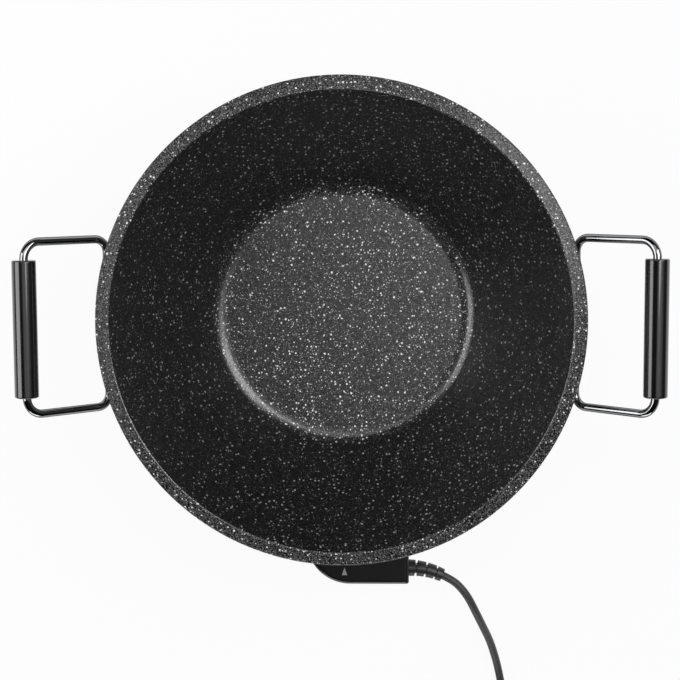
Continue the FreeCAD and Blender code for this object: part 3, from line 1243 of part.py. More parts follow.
def cord_tail():
    """From the coil's upper layer to the plug."""
    bar = cylinder(CORD_R, Vector(COIL_X, PLUG_Y, TAIL_Z), Vector(PLUG_RELIEF_END_X, PLUG_Y, TAIL_Z))
    return bar.cut(coil())


def mains_plug():
    """Angled plug on its back, its pins up, with the cord coming out of its side."""
    body = Part.makeCylinder(PLUG_R, PLUG_H, Vector(PLUG_X, PLUG_Y, 0))
    body = body.common(box(
        (PLUG_X - PLUG_R, PLUG_X + PLUG_R), (PLUG_Y - PLUG_FLAT_Y, PLUG_Y + PLUG_FLAT_Y), (0, PLUG_H)))
    body = body.makeFillet(PLUG_EDGE_ROUND, flat_edges(body, 0))
    relief_x = PLUG_X + PLUG_R - PLUG_RELIEF_SUNK
    root = Vector(relief_x, PLUG_Y, TAIL_Z)
    length = PLUG_RELIEF_END_X - relief_x
    relief = Part.makeCone(PLUG_RELIEF_R0, PLUG_RELIEF_R1, length, root, Vector(1, 0, 0))
    body = fused([body, relief])
    clip_x = (PLUG_X - EARTH_CLIP_W / 2 - EARTH_CLIP_FIT, PLUG_X + EARTH_CLIP_W / 2 + EARTH_CLIP_FIT)
    cuts = []
    for sign in (-1, 1):
        outer = PLUG_Y + sign * PLUG_R
        wall = PLUG_Y + sign * (PLUG_FLAT_Y - EARTH_CLIP_T - EARTH_CLIP_FIT)
        lip = PLUG_Y + sign * (PLUG_FLAT_Y - EARTH_CLIP_LIP - EARTH_CLIP_FIT)
        lip_z = PLUG_H - EARTH_CLIP_T - EARTH_CLIP_FIT
        cuts.append(box(clip_x, sorted((wall, outer)), (PLUG_H - EARTH_CLIP_L, PLUG_H + PAST)))
        cuts.append(box(clip_x, sorted((lip, outer)), (lip_z, PLUG_H + PAST)))
        root = Vector(PLUG_X + sign * PLUG_PIN_HALF_PITCH, PLUG_Y, PLUG_H - PLUG_PIN_SUNK)
        cuts.append(cylinder(PLUG_PIN_ROOT_R, root, root + AXIS * (PLUG_PIN_SUNK + PAST)))
    hole = Vector(PLUG_X, PLUG_Y + PLUG_PIN_HALF_PITCH, PLUG_H - EARTH_HOLE_DEPTH)
    cuts.append(cylinder(EARTH_HOLE_R, hole, hole + AXIS * (EARTH_HOLE_DEPTH + PAST)))
    return without(body, cuts)


def plug_pins():
    pins = []
    for x in (PLUG_X - PLUG_PIN_HALF_PITCH, PLUG_X + PLUG_PIN_HALF_PITCH):
        face, top = Vector(x, PLUG_Y, PLUG_H), PLUG_H + PLUG_PIN_L
        pin = cylinder(PLUG_PIN_R, face, Vector(x, PLUG_Y, top))
        pin = pin.makeChamfer(PLUG_PIN_TIP, flat_edges(pin, top))
        pins.append(pin.fuse(cylinder(PLUG_PIN_ROOT_R, face - AXIS * PLUG_PIN_SUNK, face)))
    return Part.makeCompound(pins)


def plug_earth_clips():
    clips = []
    for sign in (-1, 1):
        side = PLUG_Y + sign * PLUG_FLAT_Y
        x = (PLUG_X - EARTH_CLIP_W / 2, PLUG_X + EARTH_CLIP_W / 2)
        wall = sorted((side, side - sign * EARTH_CLIP_T))
        lip = sorted((side, side - sign * EARTH_CLIP_LIP))
        clips.append(fused([
            box(x, wall, (PLUG_H - EARTH_CLIP_L, PLUG_H)),
            box(x, lip, (PLUG_H - EARTH_CLIP_T, PLUG_H)),
        ]))
    return Part.makeCompound(clips)


# ---- all the pieces --------------------------------------------------------------------------------
PIECES = {
    "wok_bowl": wok_bowl,
    "heating_element": heating_element,
    "element_pins": element_pins,
    "ceramic_bushes": ceramic_bushes,
    "inlet_shroud": inlet_shroud,
    "shroud_screws": shroud_screws,
    "earth_contact": earth_contact,
    "earth_screw": earth_screw,
    "base_ring": base_ring,
    "heat_shield": heat_shield,
    "base_screws": base_screws,
    "rubber_feet": rubber_feet,
    "handle_bracket_right": handle_bracket,
    "handle_bracket_left": lambda: half_turn(handle_bracket()),
    "handle_wire_right": handle_wire,
    "handle_wire_left": lambda: half_turn(handle_wire()),
    "grip_right": grip,
    "grip_left": lambda: half_turn(grip()),
    "bracket_screws": bracket_screws,
    "controller_upper_case": lambda: case_half(True),
    "controller_lower_case": lambda: case_half(False),
    "controller_screws": controller_screws,
    "contact_carrier": contact_carrier,
    "contact_sleeves": contact_sleeves,
    "thermostat_probe": thermostat_probe,
    "thermostat_switch": thermostat_switch,
    "terminal_block": terminal_block,
    "pilot_lens": pilot_lens,
    "pilot_lamp": pilot_lamp,
    "cord_clamp": cord_clamp,
    "inner_cord": inner_cord,
    "strain_relief": strain_relief,
    "dial": dial,
    "dial_spindle": dial_spindle,
    "power_cord": power_cord,
    "cord_coil": coil,
    "cord_tail": cord_tail,
    "mains_plug": mains_plug,
    "plug_pins": plug_pins,
    "plug_earth_clips": plug_earth_clips,
}


def main():
    os.makedirs(OUT, exist_ok=True)
    for name, make in PIECES.items():
        shape = make()
        solids = len(shape.Solids)
        print("%-24s solids %d valid %s volume %.0f" % (name, solids, shape.isValid(), shape.Volume))
        shape.exportStep(os.path.join(OUT, name + ".step"))


main()
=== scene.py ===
import json
import math

import bmesh
import bpy
from mathutils import Matrix, Vector


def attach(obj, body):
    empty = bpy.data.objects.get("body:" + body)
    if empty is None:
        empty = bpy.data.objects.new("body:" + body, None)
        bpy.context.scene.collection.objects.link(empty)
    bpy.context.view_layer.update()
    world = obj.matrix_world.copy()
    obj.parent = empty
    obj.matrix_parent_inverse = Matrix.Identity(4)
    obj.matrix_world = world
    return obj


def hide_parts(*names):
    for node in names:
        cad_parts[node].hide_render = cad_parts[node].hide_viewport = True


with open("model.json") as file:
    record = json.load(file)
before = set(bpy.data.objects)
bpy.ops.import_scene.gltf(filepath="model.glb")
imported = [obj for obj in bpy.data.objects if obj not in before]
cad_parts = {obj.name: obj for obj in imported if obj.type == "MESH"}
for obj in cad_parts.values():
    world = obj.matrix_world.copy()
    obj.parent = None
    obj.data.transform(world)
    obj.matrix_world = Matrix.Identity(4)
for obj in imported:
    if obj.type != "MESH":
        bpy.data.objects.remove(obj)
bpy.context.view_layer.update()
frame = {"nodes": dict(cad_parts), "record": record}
nodes = frame["nodes"]
MM = 0.001

# The electric wok's camera, mains lead, materials, printed marks and light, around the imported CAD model.


def new_object(name, data):
    obj = bpy.data.objects.new(name, data)
    bpy.context.scene.collection.objects.link(obj)
    return obj


# ---- camera, fitted to the photograph; places in mm ----------------------------------------------
LENS = 87.6
SENSOR_W = 36.0
CLIP = (0.05, 50.0)
CAMERA_AT = Vector((35.967, 119.901, 1347.515))
CAMERA_BACK = Vector((0.03012, 0.10902, 0.99358))
CAMERA_RIGHT = Vector((0.99955, -0.00437, -0.02967))


def make_camera():
    data = bpy.data.cameras.new("camera")
    data.lens = LENS
    data.sensor_width = SENSOR_W
    data.clip_start, data.clip_end = CLIP
    camera = new_object("camera", data)
    back = CAMERA_BACK.normalized()
    right = (CAMERA_RIGHT - back * CAMERA_RIGHT.dot(back)).normalized()
    turn = Matrix((right, back.cross(right), back)).transposed()
    camera.matrix_world = Matrix.Translation(CAMERA_AT * MM) @ turn.to_4x4()
    bpy.context.scene.camera = camera


make_camera()


# ---- the mains lead, in mm -----------------------------------------------------------------------
CORD_R = 3.2
CORD_LIFT = 0.1               # above the table, where the lead lies
RELIEF_TIP = Vector((77.67, -213.08, 45.0))
RELIEF_HEADING = Vector((0.9011, -0.4337, 0.0))
CORD_STRAIGHT = 8.5           # straight out of the strain relief to the next point
CORD_POINTS = (
    (92.2, -222.6, 45.0), (99.0, -231.8, 44.4), (105.0, -244.6, 40.5), (111.5, -259.5, 30.5),
    (119.0, -277.5, 15.8), (126.5, -304.5, 3.7), (131.5, -336.0, 3.3), (135.0, -364.0, 3.3),
)
COIL_LEAD_X = 135.0           # the lead meets the coil here
COIL_RADII = (40.4, 34.0, 27.6)
COIL_AT = Vector((COIL_LEAD_X - COIL_RADII[0], -364.0, 0.0))
COIL_TURNS = 5.25
COIL_PER_TURN = 16            # points
COIL_MOVES = (                # degrees wound, from which of the radii, to which
    (270, 0, 1), (630, 1, 2), (1170, 2, 1), (1530, 1, 0),
)
COIL_RISE_AT = 900            # degrees wound when it climbs to the upper layer
COIL_EASE = 90                # degrees that each move takes
TAIL_XS = (COIL_AT.x - 10.0, 76.0, 65.7)  # from the coil straight to the plug


def smooth(x):
    """From 0 to 1, level at both ends."""
    x = min(max(x, 0.0), 1.0)
    return x * x * (3 - 2 * x)


def coil_place(turned):
    """Radius and height of the lead after it has been wound this many degrees clockwise."""
    r = COIL_RADII[0]
    for start, before, after in COIL_MOVES:
        r += (COIL_RADII[after] - COIL_RADII[before]) * smooth((turned - start) / COIL_EASE)
    z = CORD_R + CORD_LIFT + (2 * CORD_R - CORD_LIFT) * smooth((turned - COIL_RISE_AT) / COIL_EASE)
    return r, z


def coil_points():
    """Control points of the turns, set out far enough for the curve between them to keep its radius."""
    step = 360 / COIL_PER_TURN
    points = []
    for k in range(int(COIL_TURNS * COIL_PER_TURN)):
        turned = (k + 0.5) * step
        r, z = coil_place(turned)
        r /= math.cos(math.radians(step / 2))
        a = -math.radians(turned)
        points.append((COIL_AT.x + r * math.cos(a), COIL_AT.y + r * math.sin(a), z))
    return points


def nurbs(name, points, radius):
    """Round cord; its radius is kept in the points, so that its bound box is right as well."""
    curve = bpy.data.curves.new(name, "CURVE")
    curve.dimensions = "3D"
    spline = curve.splines.new("NURBS")
    spline.points.add(len(points) - 1)
    for p, co in zip(spline.points, points):
        p.co = (co[0] * MM, co[1] * MM, co[2] * MM, 1.0)
        p.radius = radius * MM
    spline.order_u = 3
    spline.use_endpoint_u = True
    spline.resolution_u = 8
    curve.bevel_depth = 1.0
    curve.bevel_resolution = 5
    curve.use_fill_caps = True
    return new_object(name, curve)


tail_y = COIL_AT.y - COIL_RADII[0]
tail_z = 3 * CORD_R
route = [tuple(RELIEF_TIP), tuple(RELIEF_TIP + RELIEF_HEADING * CORD_STRAIGHT)]
route += list(CORD_POINTS) + coil_points() + [(x, tail_y, tail_z) for x in TAIL_XS]
lead = nurbs("mains_lead", route, CORD_R)
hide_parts("power_cord", "cord_coil", "cord_tail")
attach(lead, "controller")


# ---- node tools ----------------------------------------------------------------------------------
def grey(value, tint=(1.0, 1.0, 1.0)):
    return (value * tint[0], value * tint[1], value * tint[2], 1.0)


WHITE = grey(1.0)


class Nodes:
    """A node tree and short ways to add to it. Values may be numbers, colours or other nodes' outputs."""

    def __init__(self, tree):
        self.tree = tree

    def add(self, kind, **values):
        node = self.tree.nodes.new(kind)
        for name, value in values.items():
            setattr(node, name, value)
        return node

    def link(self, source, target):
        self.tree.links.new(source, target)

    def put(self, target, value):
        if isinstance(value, bpy.types.NodeSocket):
            self.link(value, target)
        else:
            target.default_value = value

    def math(self, operation, a, b):
        node = self.add("ShaderNodeMath", operation=operation)
        self.put(node.inputs[0], a)
        self.put(node.inputs[1], b)
        return node.outputs[0]

    def vector(self, operation, a, b=None, result="Vector"):
        node = self.add("ShaderNodeVectorMath", operation=operation)
        self.put(node.inputs[0], a)
        if b is not None:
            self.put(node.inputs["Scale" if operation == "SCALE" else 1], b)
        return node.outputs[result]

    def map(self, value, low, high, to_low=0.0, to_high=1.0, smooth_step=False):
        node = self.add("ShaderNodeMapRange", clamp=True)
        if smooth_step:
            node.interpolation_type = "SMOOTHSTEP"
        self.put(node.inputs["Value"], value)
        self.put(node.inputs["From Min"], low)
        self.put(node.inputs["From Max"], high)
        self.put(node.inputs["To Min"], to_low)
        self.put(node.inputs["To Max"], to_high)
        return node.outputs[0]

    def mix(self, factor, a, b):
        """Colour between a and b."""
        node = self.add("ShaderNodeMix", data_type="RGBA")
        self.put(node.inputs[0], factor)
        self.put(node.inputs[6], a)
        self.put(node.inputs[7], b)
        return node.outputs[2]

    def axes(self, vector):
        """The outputs X, Y and Z of a vector."""
        node = self.add("ShaderNodeSeparateXYZ")
        self.link(vector, node.inputs[0])
        return node.outputs

    def channels(self, color):
        """The outputs red, green and blue of a colour."""
        node = self.add("ShaderNodeSeparateColor")
        self.link(color, node.inputs[0])
        return node.outputs

    def seen_by(self, *rays):
        """1 for these kinds of ray, named as on the Light Path node, and 0 for others."""
        paths = self.add("ShaderNodeLightPath")
        seen = paths.outputs[rays[0]]
        for ray in rays[1:]:
            seen = self.math("MAXIMUM", seen, paths.outputs[ray])
        return seen

    def blend(self, factor, a, b):
        """Shader between a and b."""
        node = self.add("ShaderNodeMixShader")
        self.link(factor, node.inputs[0])
        self.link(a, node.inputs[1])
        self.link(b, node.inputs[2])
        return node.outputs[0]

    def glow(self, kind, color):
        """Emission or background of strength 1."""
        node = self.add(kind)
        self.put(node.inputs["Color"], color)
        node.inputs["Strength"].default_value = 1.0
        return node.outputs[0]


class Surface(Nodes):
    """A new material, with its shader, and the piece's own coordinates in metres as self.at."""

    def __init__(self, name):
        self.material = bpy.data.materials.new(name)
        self.material.use_nodes = True
        super().__init__(self.material.node_tree)
        self.shader = self.tree.nodes["Principled BSDF"]
        self.at = self.add("ShaderNodeTexCoord").outputs["Object"]

    def set(self, **values):
        """Constants on the shader's own sockets."""
        for name, value in values.items():
            self.shader.inputs[name.replace("_", " ")].default_value = value

    def noise(self, scale, detail, rough, at=None, offset=None, result="Fac"):
        node = self.add("ShaderNodeTexNoise")
        where = self.at if at is None else at
        if offset is not None:
            where = self.vector("ADD", where, offset)
        self.link(where, node.inputs["Vector"])
        node.inputs["Scale"].default_value = scale
        node.inputs["Detail"].default_value = detail
        node.inputs["Roughness"].default_value = rough
        return node.outputs[result]

    def cells(self, scale, at):
        """Random cells: the distance to their points, and three random numbers for each."""
        node = self.add("ShaderNodeTexVoronoi", feature="F1", voronoi_dimensions="3D")
        self.link(at, node.inputs["Vector"])
        node.inputs["Scale"].default_value = scale
        return node.outputs["Distance"], self.channels(node.outputs["Color"])

    def bump(self, height, strength, distance, normal=None):
        node = self.add("ShaderNodeBump")
        node.inputs["Strength"].default_value = strength
        node.inputs["Distance"].default_value = distance
        self.link(height, node.inputs["Height"])
        if normal is not None:
            self.link(normal, node.inputs["Normal"])
        return node.outputs[0]

    def finish(self, color, roughness, normal=None):
        self.put(self.shader.inputs["Base Color"], color)
        self.put(self.shader.inputs["Roughness"], roughness)
        if normal is not None:
            self.put(self.shader.inputs["Normal"], normal)
        return self.material


# ---- the bowl's coating --------------------------------------------------------------------------
HEEL_TO_SHADED_WALL = (0.0603, 0.0660)   # height in metres over which painted shade darkens the coating and thins its speckles, up to the wall
BAND_INNER = (0.1692, 0.1698)     # radius at which the rim's band starts, which painted light makes a lighter grey
BAND_DULL = (0.1706, 0.1712)      # radius at which the band turns duller
SPECKLES_ON_SHADED_WALL = 0.27                 # of the speckles, left on the wall by painted shade
BIG_SPECKLES_ON_SHADED_WALL = 0.38             # of the biggest ones, left on the wall by painted shade
SPECKLES = {
    # cells per metre, radius in cells, its spread, share of the cells, sharpness, darkest, lightest
    "dust": (1000.0, 0.28, 0.5, 0.9, 0.45, 0.02, 0.55),
    "dots": (560.0, 0.22, 0.45, 0.85, 0.75, 0.10, 0.95),
    "big": (330.0, 0.215, 0.32, 0.6, 0.8, 0.85, 0.97),
}
SPOT_HEIGHT = 0.00012
RIPPLE_HEIGHT = 0.0006


def speckles(n, at, scale, radius, spread, keep, sharp):
    """Soft round spots at random points, and a random tone for each."""
    distance, dice = n.cells(scale, at)
    size = n.map(dice[0], 0.0, 1.0, radius * (1 - spread), radius * (1 + spread))
    spot = n.map(distance, n.math("MULTIPLY", size, sharp), size, 1.0, 0.0, smooth_step=True)
    return n.math("MULTIPLY", spot, n.math("LESS_THAN", dice[1], keep)), dice[2]


def coating():
    """Dark stone-effect coating: fine grain, dust, grey dots and white flecks; painted shade darkens the
    steep wall and thins its speckles, and painted light makes the rim's band a lighter grey.
    """
    n = Surface("stone_coating")
    warp = n.noise(700.0, 1.0, 0.5, result="Color")
    shift = n.vector("SUBTRACT", warp, (0.5, 0.5, 0.5))
    at = n.vector("ADD", n.at, n.vector("SCALE", shift, 0.0012))

    radius = n.vector("LENGTH", n.vector("MULTIPLY", n.at, (1.0, 1.0, 0.0)), result="Value")
    # Painted shade: up the steep wall the coating is darker and its speckles sparser, as if less lit; the
    # rim's band is left out of it.
    wall_shade = n.map(n.axes(n.at)["Z"], *HEEL_TO_SHADED_WALL, 0.0, 1.0, smooth_step=True)
    wall_shade = n.math("MULTIPLY", wall_shade, n.map(radius, *BAND_INNER, 1.0, 0.05))
    # Painted shade: fewer speckles up the wall.
    shaded_share = n.map(wall_shade, 0.0, 1.0, 1.0, SPECKLES_ON_SHADED_WALL)
    density_with_shade = n.math("MULTIPLY", n.map(n.noise(55.0, 3.0, 0.6), 0.36, 0.6, 0.55, 1.0), shaded_share)
    amounts = {"dust": density_with_shade, "dots": density_with_shade, "big": n.map(shaded_share, SPECKLES_ON_SHADED_WALL, 1.0, BIG_SPECKLES_ON_SHADED_WALL, 1.0)}

    grain = n.cells(1900.0, n.at)[1]
    # Painted light: the rim's band is a lighter grey than the floor, as if it caught more light.
    body = n.mix(n.map(radius, *BAND_INNER), grey(0.085), grey(0.19))
    # Painted shade: the wall's coating is darkened towards grey(0.015).
    base = n.mix(n.map(grain[0], 0.55, 1.0), grey(0.001), n.mix(wall_shade, body, grey(0.015)))
    spots = {}
    for name, (*form, darkest, lightest) in SPECKLES.items():
        spots[name], dice = speckles(n, at, *form)
        tone = n.mix(dice, grey(darkest), grey(lightest))
        base = n.mix(n.math("MULTIPLY", spots[name], amounts[name]), base, tone)

    wear = n.noise(300.0, 2.0, 0.5, offset=(3.1, 1.7, 0.4))
    rough = n.math("ADD", n.map(wear, 0.3, 0.7, 0.40, 0.46), n.map(grain[1], 0.0, 1.0, -0.12, 0.12))
    ripple = n.noise(900.0, 2.0, 0.6)
    raised_spots = n.math("ADD", spots["dots"], spots["big"])
    normal = n.bump(raised_spots, 0.20, SPOT_HEIGHT, n.bump(ripple, 0.25, RIPPLE_HEIGHT))
    coat_normal = n.bump(raised_spots, 0.15, SPOT_HEIGHT, n.bump(ripple, 0.17, RIPPLE_HEIGHT))
    n.link(coat_normal, n.shader.inputs["Coat Normal"])
    coat = n.math("MULTIPLY", n.map(radius, *BAND_DULL, 1.0, 0.26), n.map(grain[1], 0.0, 0.7, 0.15, 1.1))
    n.link(coat, n.shader.inputs["Coat Weight"])
    n.set(Specular_IOR_Level=0.16, IOR=1.5, Coat_Roughness=0.20, Coat_IOR=1.8)
    return n.finish(base, rough, normal)


# ---- other materials -----------------------------------------------------------------------------
def moulded(name, tone, rough, grain_scale, strength, tint=(1.0, 1.0, 1.0), spec=0.5, coat=0.0):
    """Moulded plastic, rubber or print with a fine grain and slightly uneven gloss."""
    n = Surface(name)
    grain = n.noise(grain_scale, 3.0, 0.6)
    cloud = n.noise(28.0, 3.0, 0.55, offset=(1.3, 0.2, 2.1))
    color = n.mix(n.map(cloud, 0.3, 0.7), grey(tone * 0.86, tint), grey(tone * 1.16, tint))
    gloss = n.map(cloud, 0.3, 0.7, rough * 0.92, rough * 1.06)
    gloss = n.math("ADD", gloss, n.map(grain, 0.3, 0.7, -0.02, 0.02))
    n.set(Specular_IOR_Level=spec, Coat_Weight=coat)
    return n.finish(color, gloss, n.bump(grain, strength, 0.0002))


def shades(n, pattern, color, darker):
    """The colour, and this much of it where the pattern is low."""
    return n.mix(n.map(pattern, 0.3, 0.7), tuple(c * darker for c in color) + (1.0,), tuple(color) + (1.0,))


def metal(name, color, rough, stretch, strength, edge=1.0):
    """Metal with drawing lines along the axis that stretch shortens, or a faint cloud where that is None."""
    n = Surface(name)
    n.set(Metallic=1.0, Specular_Tint=grey(edge))
    cloud = n.noise(60.0, 3.0, 0.6)
    at = n.at if stretch is None else n.vector("MULTIPLY", n.at, stretch)
    lines = n.noise(700.0, 3.0, 0.6, at=at)
    gloss = n.map(lines, 0.3, 0.7, rough * 0.8, rough * 1.2)
    gloss = n.math("ADD", gloss, n.map(cloud, 0.3, 0.7, 0.0, rough * 0.15))
    return n.finish(shades(n, cloud, color, 0.93), gloss, n.bump(lines, strength, 0.00006))


def clear_plastic(name, color, rough):
    n = Surface(name)
    cloud = n.noise(220.0, 2.0, 0.5)
    n.set(Transmission_Weight=0.75, IOR=1.49)
    return n.finish(shades(n, cloud, color, 0.8), n.map(cloud, 0.3, 0.7, rough * 0.7, rough * 1.3))


MATERIALS = {
    "bowl_coating": coating(),
    "base_plastic": moulded("base_plastic", 0.016, 0.42, 1100.0, 0.3),
    "grip_plastic": moulded("grip_plastic", 0.004, 0.20, 500.0, 0.02, coat=0.8),
    "handle_chrome": metal("handle_chrome", (0.30, 0.303, 0.31), 0.07, None, 0.012, edge=0.12),
    "bracket_steel": metal("bracket_steel", (0.62, 0.62, 0.625), 0.26, (1.0, 0.04, 1.0), 0.10),
    "fastener_steel": metal("fastener_steel", (0.58, 0.58, 0.60), 0.30, None, 0.05),
    "shield_steel": metal("shield_steel", (0.60, 0.60, 0.61), 0.36, (0.03, 1.0, 1.0), 0.12),
    "element_steel": metal("element_steel", (0.34, 0.32, 0.30), 0.38, None, 0.10),
    "contact_metal": metal("contact_metal", (0.78, 0.72, 0.56), 0.24, (1.0, 1.0, 0.05), 0.06),
    "ceramic": moulded("ceramic", 0.72, 0.48, 700.0, 0.15, (1.0, 0.97, 0.91)),
    "foot_rubber": moulded("foot_rubber", 0.018, 0.75, 1300.0, 0.4, spec=0.35),
    "controller_plastic": moulded("controller_plastic", 0.004, 0.30, 1500.0, 0.12, coat=0.5),
    "dial_plastic": moulded("dial_plastic", 0.010, 0.36, 1500.0, 0.14),
    "phenolic": moulded("phenolic", 0.06, 0.5, 500.0, 0.2, (1.0, 0.55, 0.32)),
    "lens_red": clear_plastic("lens_red", (0.75, 0.03, 0.02), 0.08),
    "lamp_glass": clear_plastic("lamp_glass", (0.85, 0.55, 0.35), 0.04),
    "cord_rubber": moulded("cord_rubber", 0.045, 0.46, 1400.0, 0.35),
    "plug_plastic": moulded("plug_plastic", 0.012, 0.42, 1300.0, 0.25),
}


def dress(obj, material):
    obj.data.materials.clear()
    obj.data.materials.append(material)


for part in frame["record"]["subparts"]:
    if part["node"] in nodes:
        dress(nodes[part["node"]], MATERIALS[part["material_slot"]])
# The strain relief is darker than the lead, though both are of one slot.
dress(nodes["strain_relief"], moulded("relief_rubber", 0.022, 0.40, 1400.0, 0.3))
dress(lead, MATERIALS["cord_rubber"])


# ---- printed marks, in mm ------------------------------------------------------------------------
PRINT_SUNK = 0.05             # marks start this far inside what carries them
CASE_TOP_Z = 60.0
POINTER = ((-2.5, -209.6), (1.9, -209.6), (-0.3, -203.3))
POINTER_H = 0.12
POINTER_TAPER = 0.15
DIAL_AT = Vector((0.0, -181.0, 63.0))     # middle of the skirt's top
SCALE_R = 15.7                # circle of the numbers
SCALE_STEP = 54               # degrees from one number to the next
SCALE_COUNT = 6
SCALE_H = 0.06
NUMBER_SIZE = 2.5
TICK_HALF_L = 0.65
TICK_HALF_W = 0.16
TICK_TAPER = 0.02


def raised(shape, corners, low, high, taper):
    """Thin plate on the given corners, a little smaller on top."""
    middle = sum((Vector(c) for c in corners), Vector((0.0, 0.0))) / len(corners)
    rings = []
    for z, draw_in in ((low, 0.0), (high, taper)):
        ring = []
        for corner in corners:
            p = Vector(corner)
            p += (middle - p).normalized() * draw_in
            ring.append(shape.verts.new((p.x * MM, p.y * MM, z * MM)))
        rings.append(ring)
    lower, upper = rings
    shape.faces.new(lower[::-1])
    shape.faces.new(upper)
    count = len(corners)
    for i in range(count):
        j = (i + 1) % count
        shape.faces.new((lower[i], lower[j], upper[j], upper[i]))


def piece(name, shape, material, body):
    mesh = bpy.data.meshes.new(name)
    shape.to_mesh(mesh)
    shape.free()
    mesh.materials.append(material)
    obj = new_object(name, mesh)
    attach(obj, body)


def pointer_mark():
    shape = bmesh.new()
    raised(shape, POINTER, CASE_TOP_Z - PRINT_SUNK, CASE_TOP_Z + POINTER_H, POINTER_TAPER)
    grey_print = moulded("grey_print", 0.33, 0.5, 1600.0, 0.1)
    piece("pointer_mark", shape, grey_print, "controller")


def number_mesh(text):
    curve = bpy.data.curves.new("number", "FONT")
    curve.body = text
    curve.size = NUMBER_SIZE * MM
    curve.extrude = SCALE_H * MM
    curve.align_x = "CENTER"
    curve.align_y = "CENTER"
    obj = new_object("number", curve)
    mesh = bpy.data.meshes.new_from_object(obj)
    bpy.data.objects.remove(obj)
    bpy.data.curves.remove(curve)
    return mesh


def dial_scale():
    """Numbers and ticks on the dial's skirt, which pass the pointer as the dial is turned."""
    shape = bmesh.new()
    out_to_scale = Matrix.Translation(Vector((0, -SCALE_R, 0)) * MM)
    for k in range(SCALE_COUNT):
        turn = Matrix.Rotation(math.radians(SCALE_STEP * k), 4, "Z")
        mesh = number_mesh(str(k))
        mesh.transform(Matrix.Translation(DIAL_AT * MM) @ turn @ out_to_scale)
        shape.from_mesh(mesh)
        bpy.data.meshes.remove(mesh)
    for k in range(SCALE_COUNT - 1):
        a = math.radians(SCALE_STEP * (k + 0.5) - 90)
        out, side = Vector((math.cos(a), math.sin(a))), Vector((-math.sin(a), math.cos(a)))
        at = DIAL_AT.xy + out * SCALE_R
        corners = [
            at + out * (TICK_HALF_L * u) + side * (TICK_HALF_W * v)
            for u, v in ((-1, 1), (-1, -1), (1, -1), (1, 1))]
        raised(shape, corners, DIAL_AT.z - PRINT_SUNK, DIAL_AT.z + SCALE_H, TICK_TAPER)
    white_print = moulded("white_print", 0.72, 0.5, 1600.0, 0.1)
    piece("dial_scale", shape, white_print, "dial")


pointer_mark()
dial_scale()


# ---- stage and light, in metres ------------------------------------------------------------------
FLOOR_R = 6.0
FLOOR_DROP = 0.0002           # below the feet
PAPER_TONE = 0.86
PAPER_GLOW = 0.93             # share of white that camera, metal and glass see
SKY_WHITE = 0.985
LAMP_AIM = Vector((0.0, 0.0, 0.08))
LAMPS = (
    # name, azimuth (0 is +X, 90 is +Y), elevation, distance, width and height, watts
    ("right", 26, 54, 1.6, (0.80, 1.2), 13.4),
    ("left", 176, 33, 1.6, (1.2, 0.96), 13.2),
    ("back", 108, 61, 2.1, (1.8, 1.0), 5.2),
    ("front", 264, 11, 1.6, (1.5, 0.35), 6.5),
    ("overhead", 90, 70, 2.1, (1.1, 1.1), 2.0),
)
UNMIRRORED = ("overhead",)    # lights the piece without showing in its gloss
CEILING = (0.10, -0.25, 0.96)             # the studio is lightest this way
CEILING_TONES = ((0.0, 0.06), (0.6, 0.08), (0.92, 0.86))      # by how nearly a ray goes that way
STUDIO_SIDES = (("X", -0.08, -0.04), ("Y", -0.22, -0.16))     # dark below the first number
SIDE_TONE = 0.03


def stage_material():
    """White paper: a soft shadow stays on it, and the camera, metal and glass see it nearly white."""
    n = Surface("white_paper")
    n.set(Specular_IOR_Level=0.1)
    fibre = n.noise(260.0, 3.0, 0.6)
    n.finish(n.mix(fibre, grey(PAPER_TONE * 0.985), grey(PAPER_TONE)), 0.9)
    seen = n.seen_by("Is Camera Ray", "Is Glossy Ray", "Is Transmission Ray")
    white = n.glow("ShaderNodeEmission", WHITE)
    paper = n.blend(n.math("MULTIPLY", seen, PAPER_GLOW), n.shader.outputs[0], white)
    n.link(paper, n.tree.nodes["Material Output"].inputs["Surface"])
    return n.material


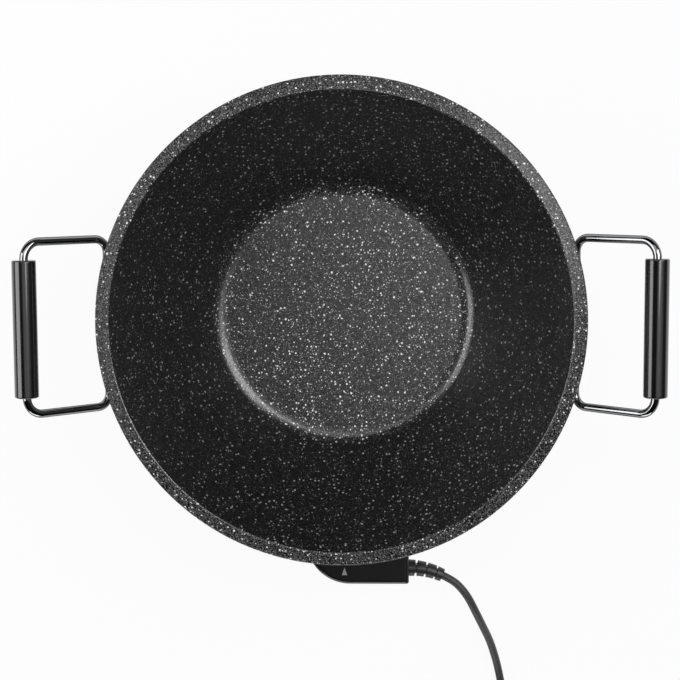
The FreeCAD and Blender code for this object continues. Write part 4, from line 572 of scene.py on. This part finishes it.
def make_floor():
    mesh = bpy.data.meshes.new("floor")
    shape = bmesh.new()
    bmesh.ops.create_circle(shape, cap_ends=True, segments=96, radius=FLOOR_R)
    shape.to_mesh(mesh)
    shape.free()
    mesh.materials.append(stage_material())
    floor = new_object("floor", mesh)
    floor.location.z = -FLOOR_DROP


def softbox(name, azimuth, elevation, distance, size, power):
    """Area lamp that faces LAMP_AIM."""
    data = bpy.data.lights.new(name, "AREA")
    data.shape = "RECTANGLE"
    data.size, data.size_y = size
    data.energy = power
    lamp = new_object(name, data)
    a, e = math.radians(azimuth), math.radians(elevation)
    away = Vector((math.cos(a) * math.cos(e), math.sin(a) * math.cos(e), math.sin(e)))
    lamp.location = LAMP_AIM + away * distance
    lamp.rotation_mode = "QUATERNION"
    lamp.rotation_quaternion = away.to_track_quat("Z", "Y")
    lamp.visible_glossy = name not in UNMIRRORED


def studio_world():
    """A dim studio under a light ceiling. The camera sees it white, straight or through glass."""
    world = bpy.data.worlds.new("studio")
    world.use_nodes = True
    bpy.context.scene.world = world
    n = Nodes(world.node_tree)
    n.tree.nodes.clear()
    ray = n.add("ShaderNodeTexCoord").outputs["Generated"]
    ramp = n.add("ShaderNodeValToRGB")
    n.link(n.vector("DOT_PRODUCT", ray, CEILING, result="Value"), ramp.inputs[0])
    first, middle, last = CEILING_TONES
    stops = ramp.color_ramp.elements
    stops[0].position, stops[0].color = first[0], grey(first[1])
    stops[1].position, stops[1].color = last[0], grey(last[1])
    stops.new(middle[0]).color = grey(middle[1])
    shade = ramp.outputs[0]
    along = n.axes(ray)
    for axis, dark, light in STUDIO_SIDES:
        shade = n.vector("SCALE", shade, n.map(along[axis], dark, light, SIDE_TONE, 1.0))
    seen = n.seen_by("Is Camera Ray", "Is Transmission Ray")
    studio = n.glow("ShaderNodeBackground", shade)
    white = n.glow("ShaderNodeBackground", grey(SKY_WHITE))
    out = n.add("ShaderNodeOutputWorld")
    n.link(n.blend(seen, studio, white), out.inputs["Surface"])


make_floor()
for lamp in LAMPS:
    softbox(*lamp)
studio_world()

bpy.context.scene.view_settings.view_transform = "Standard"

bpy.context.view_layer.update()
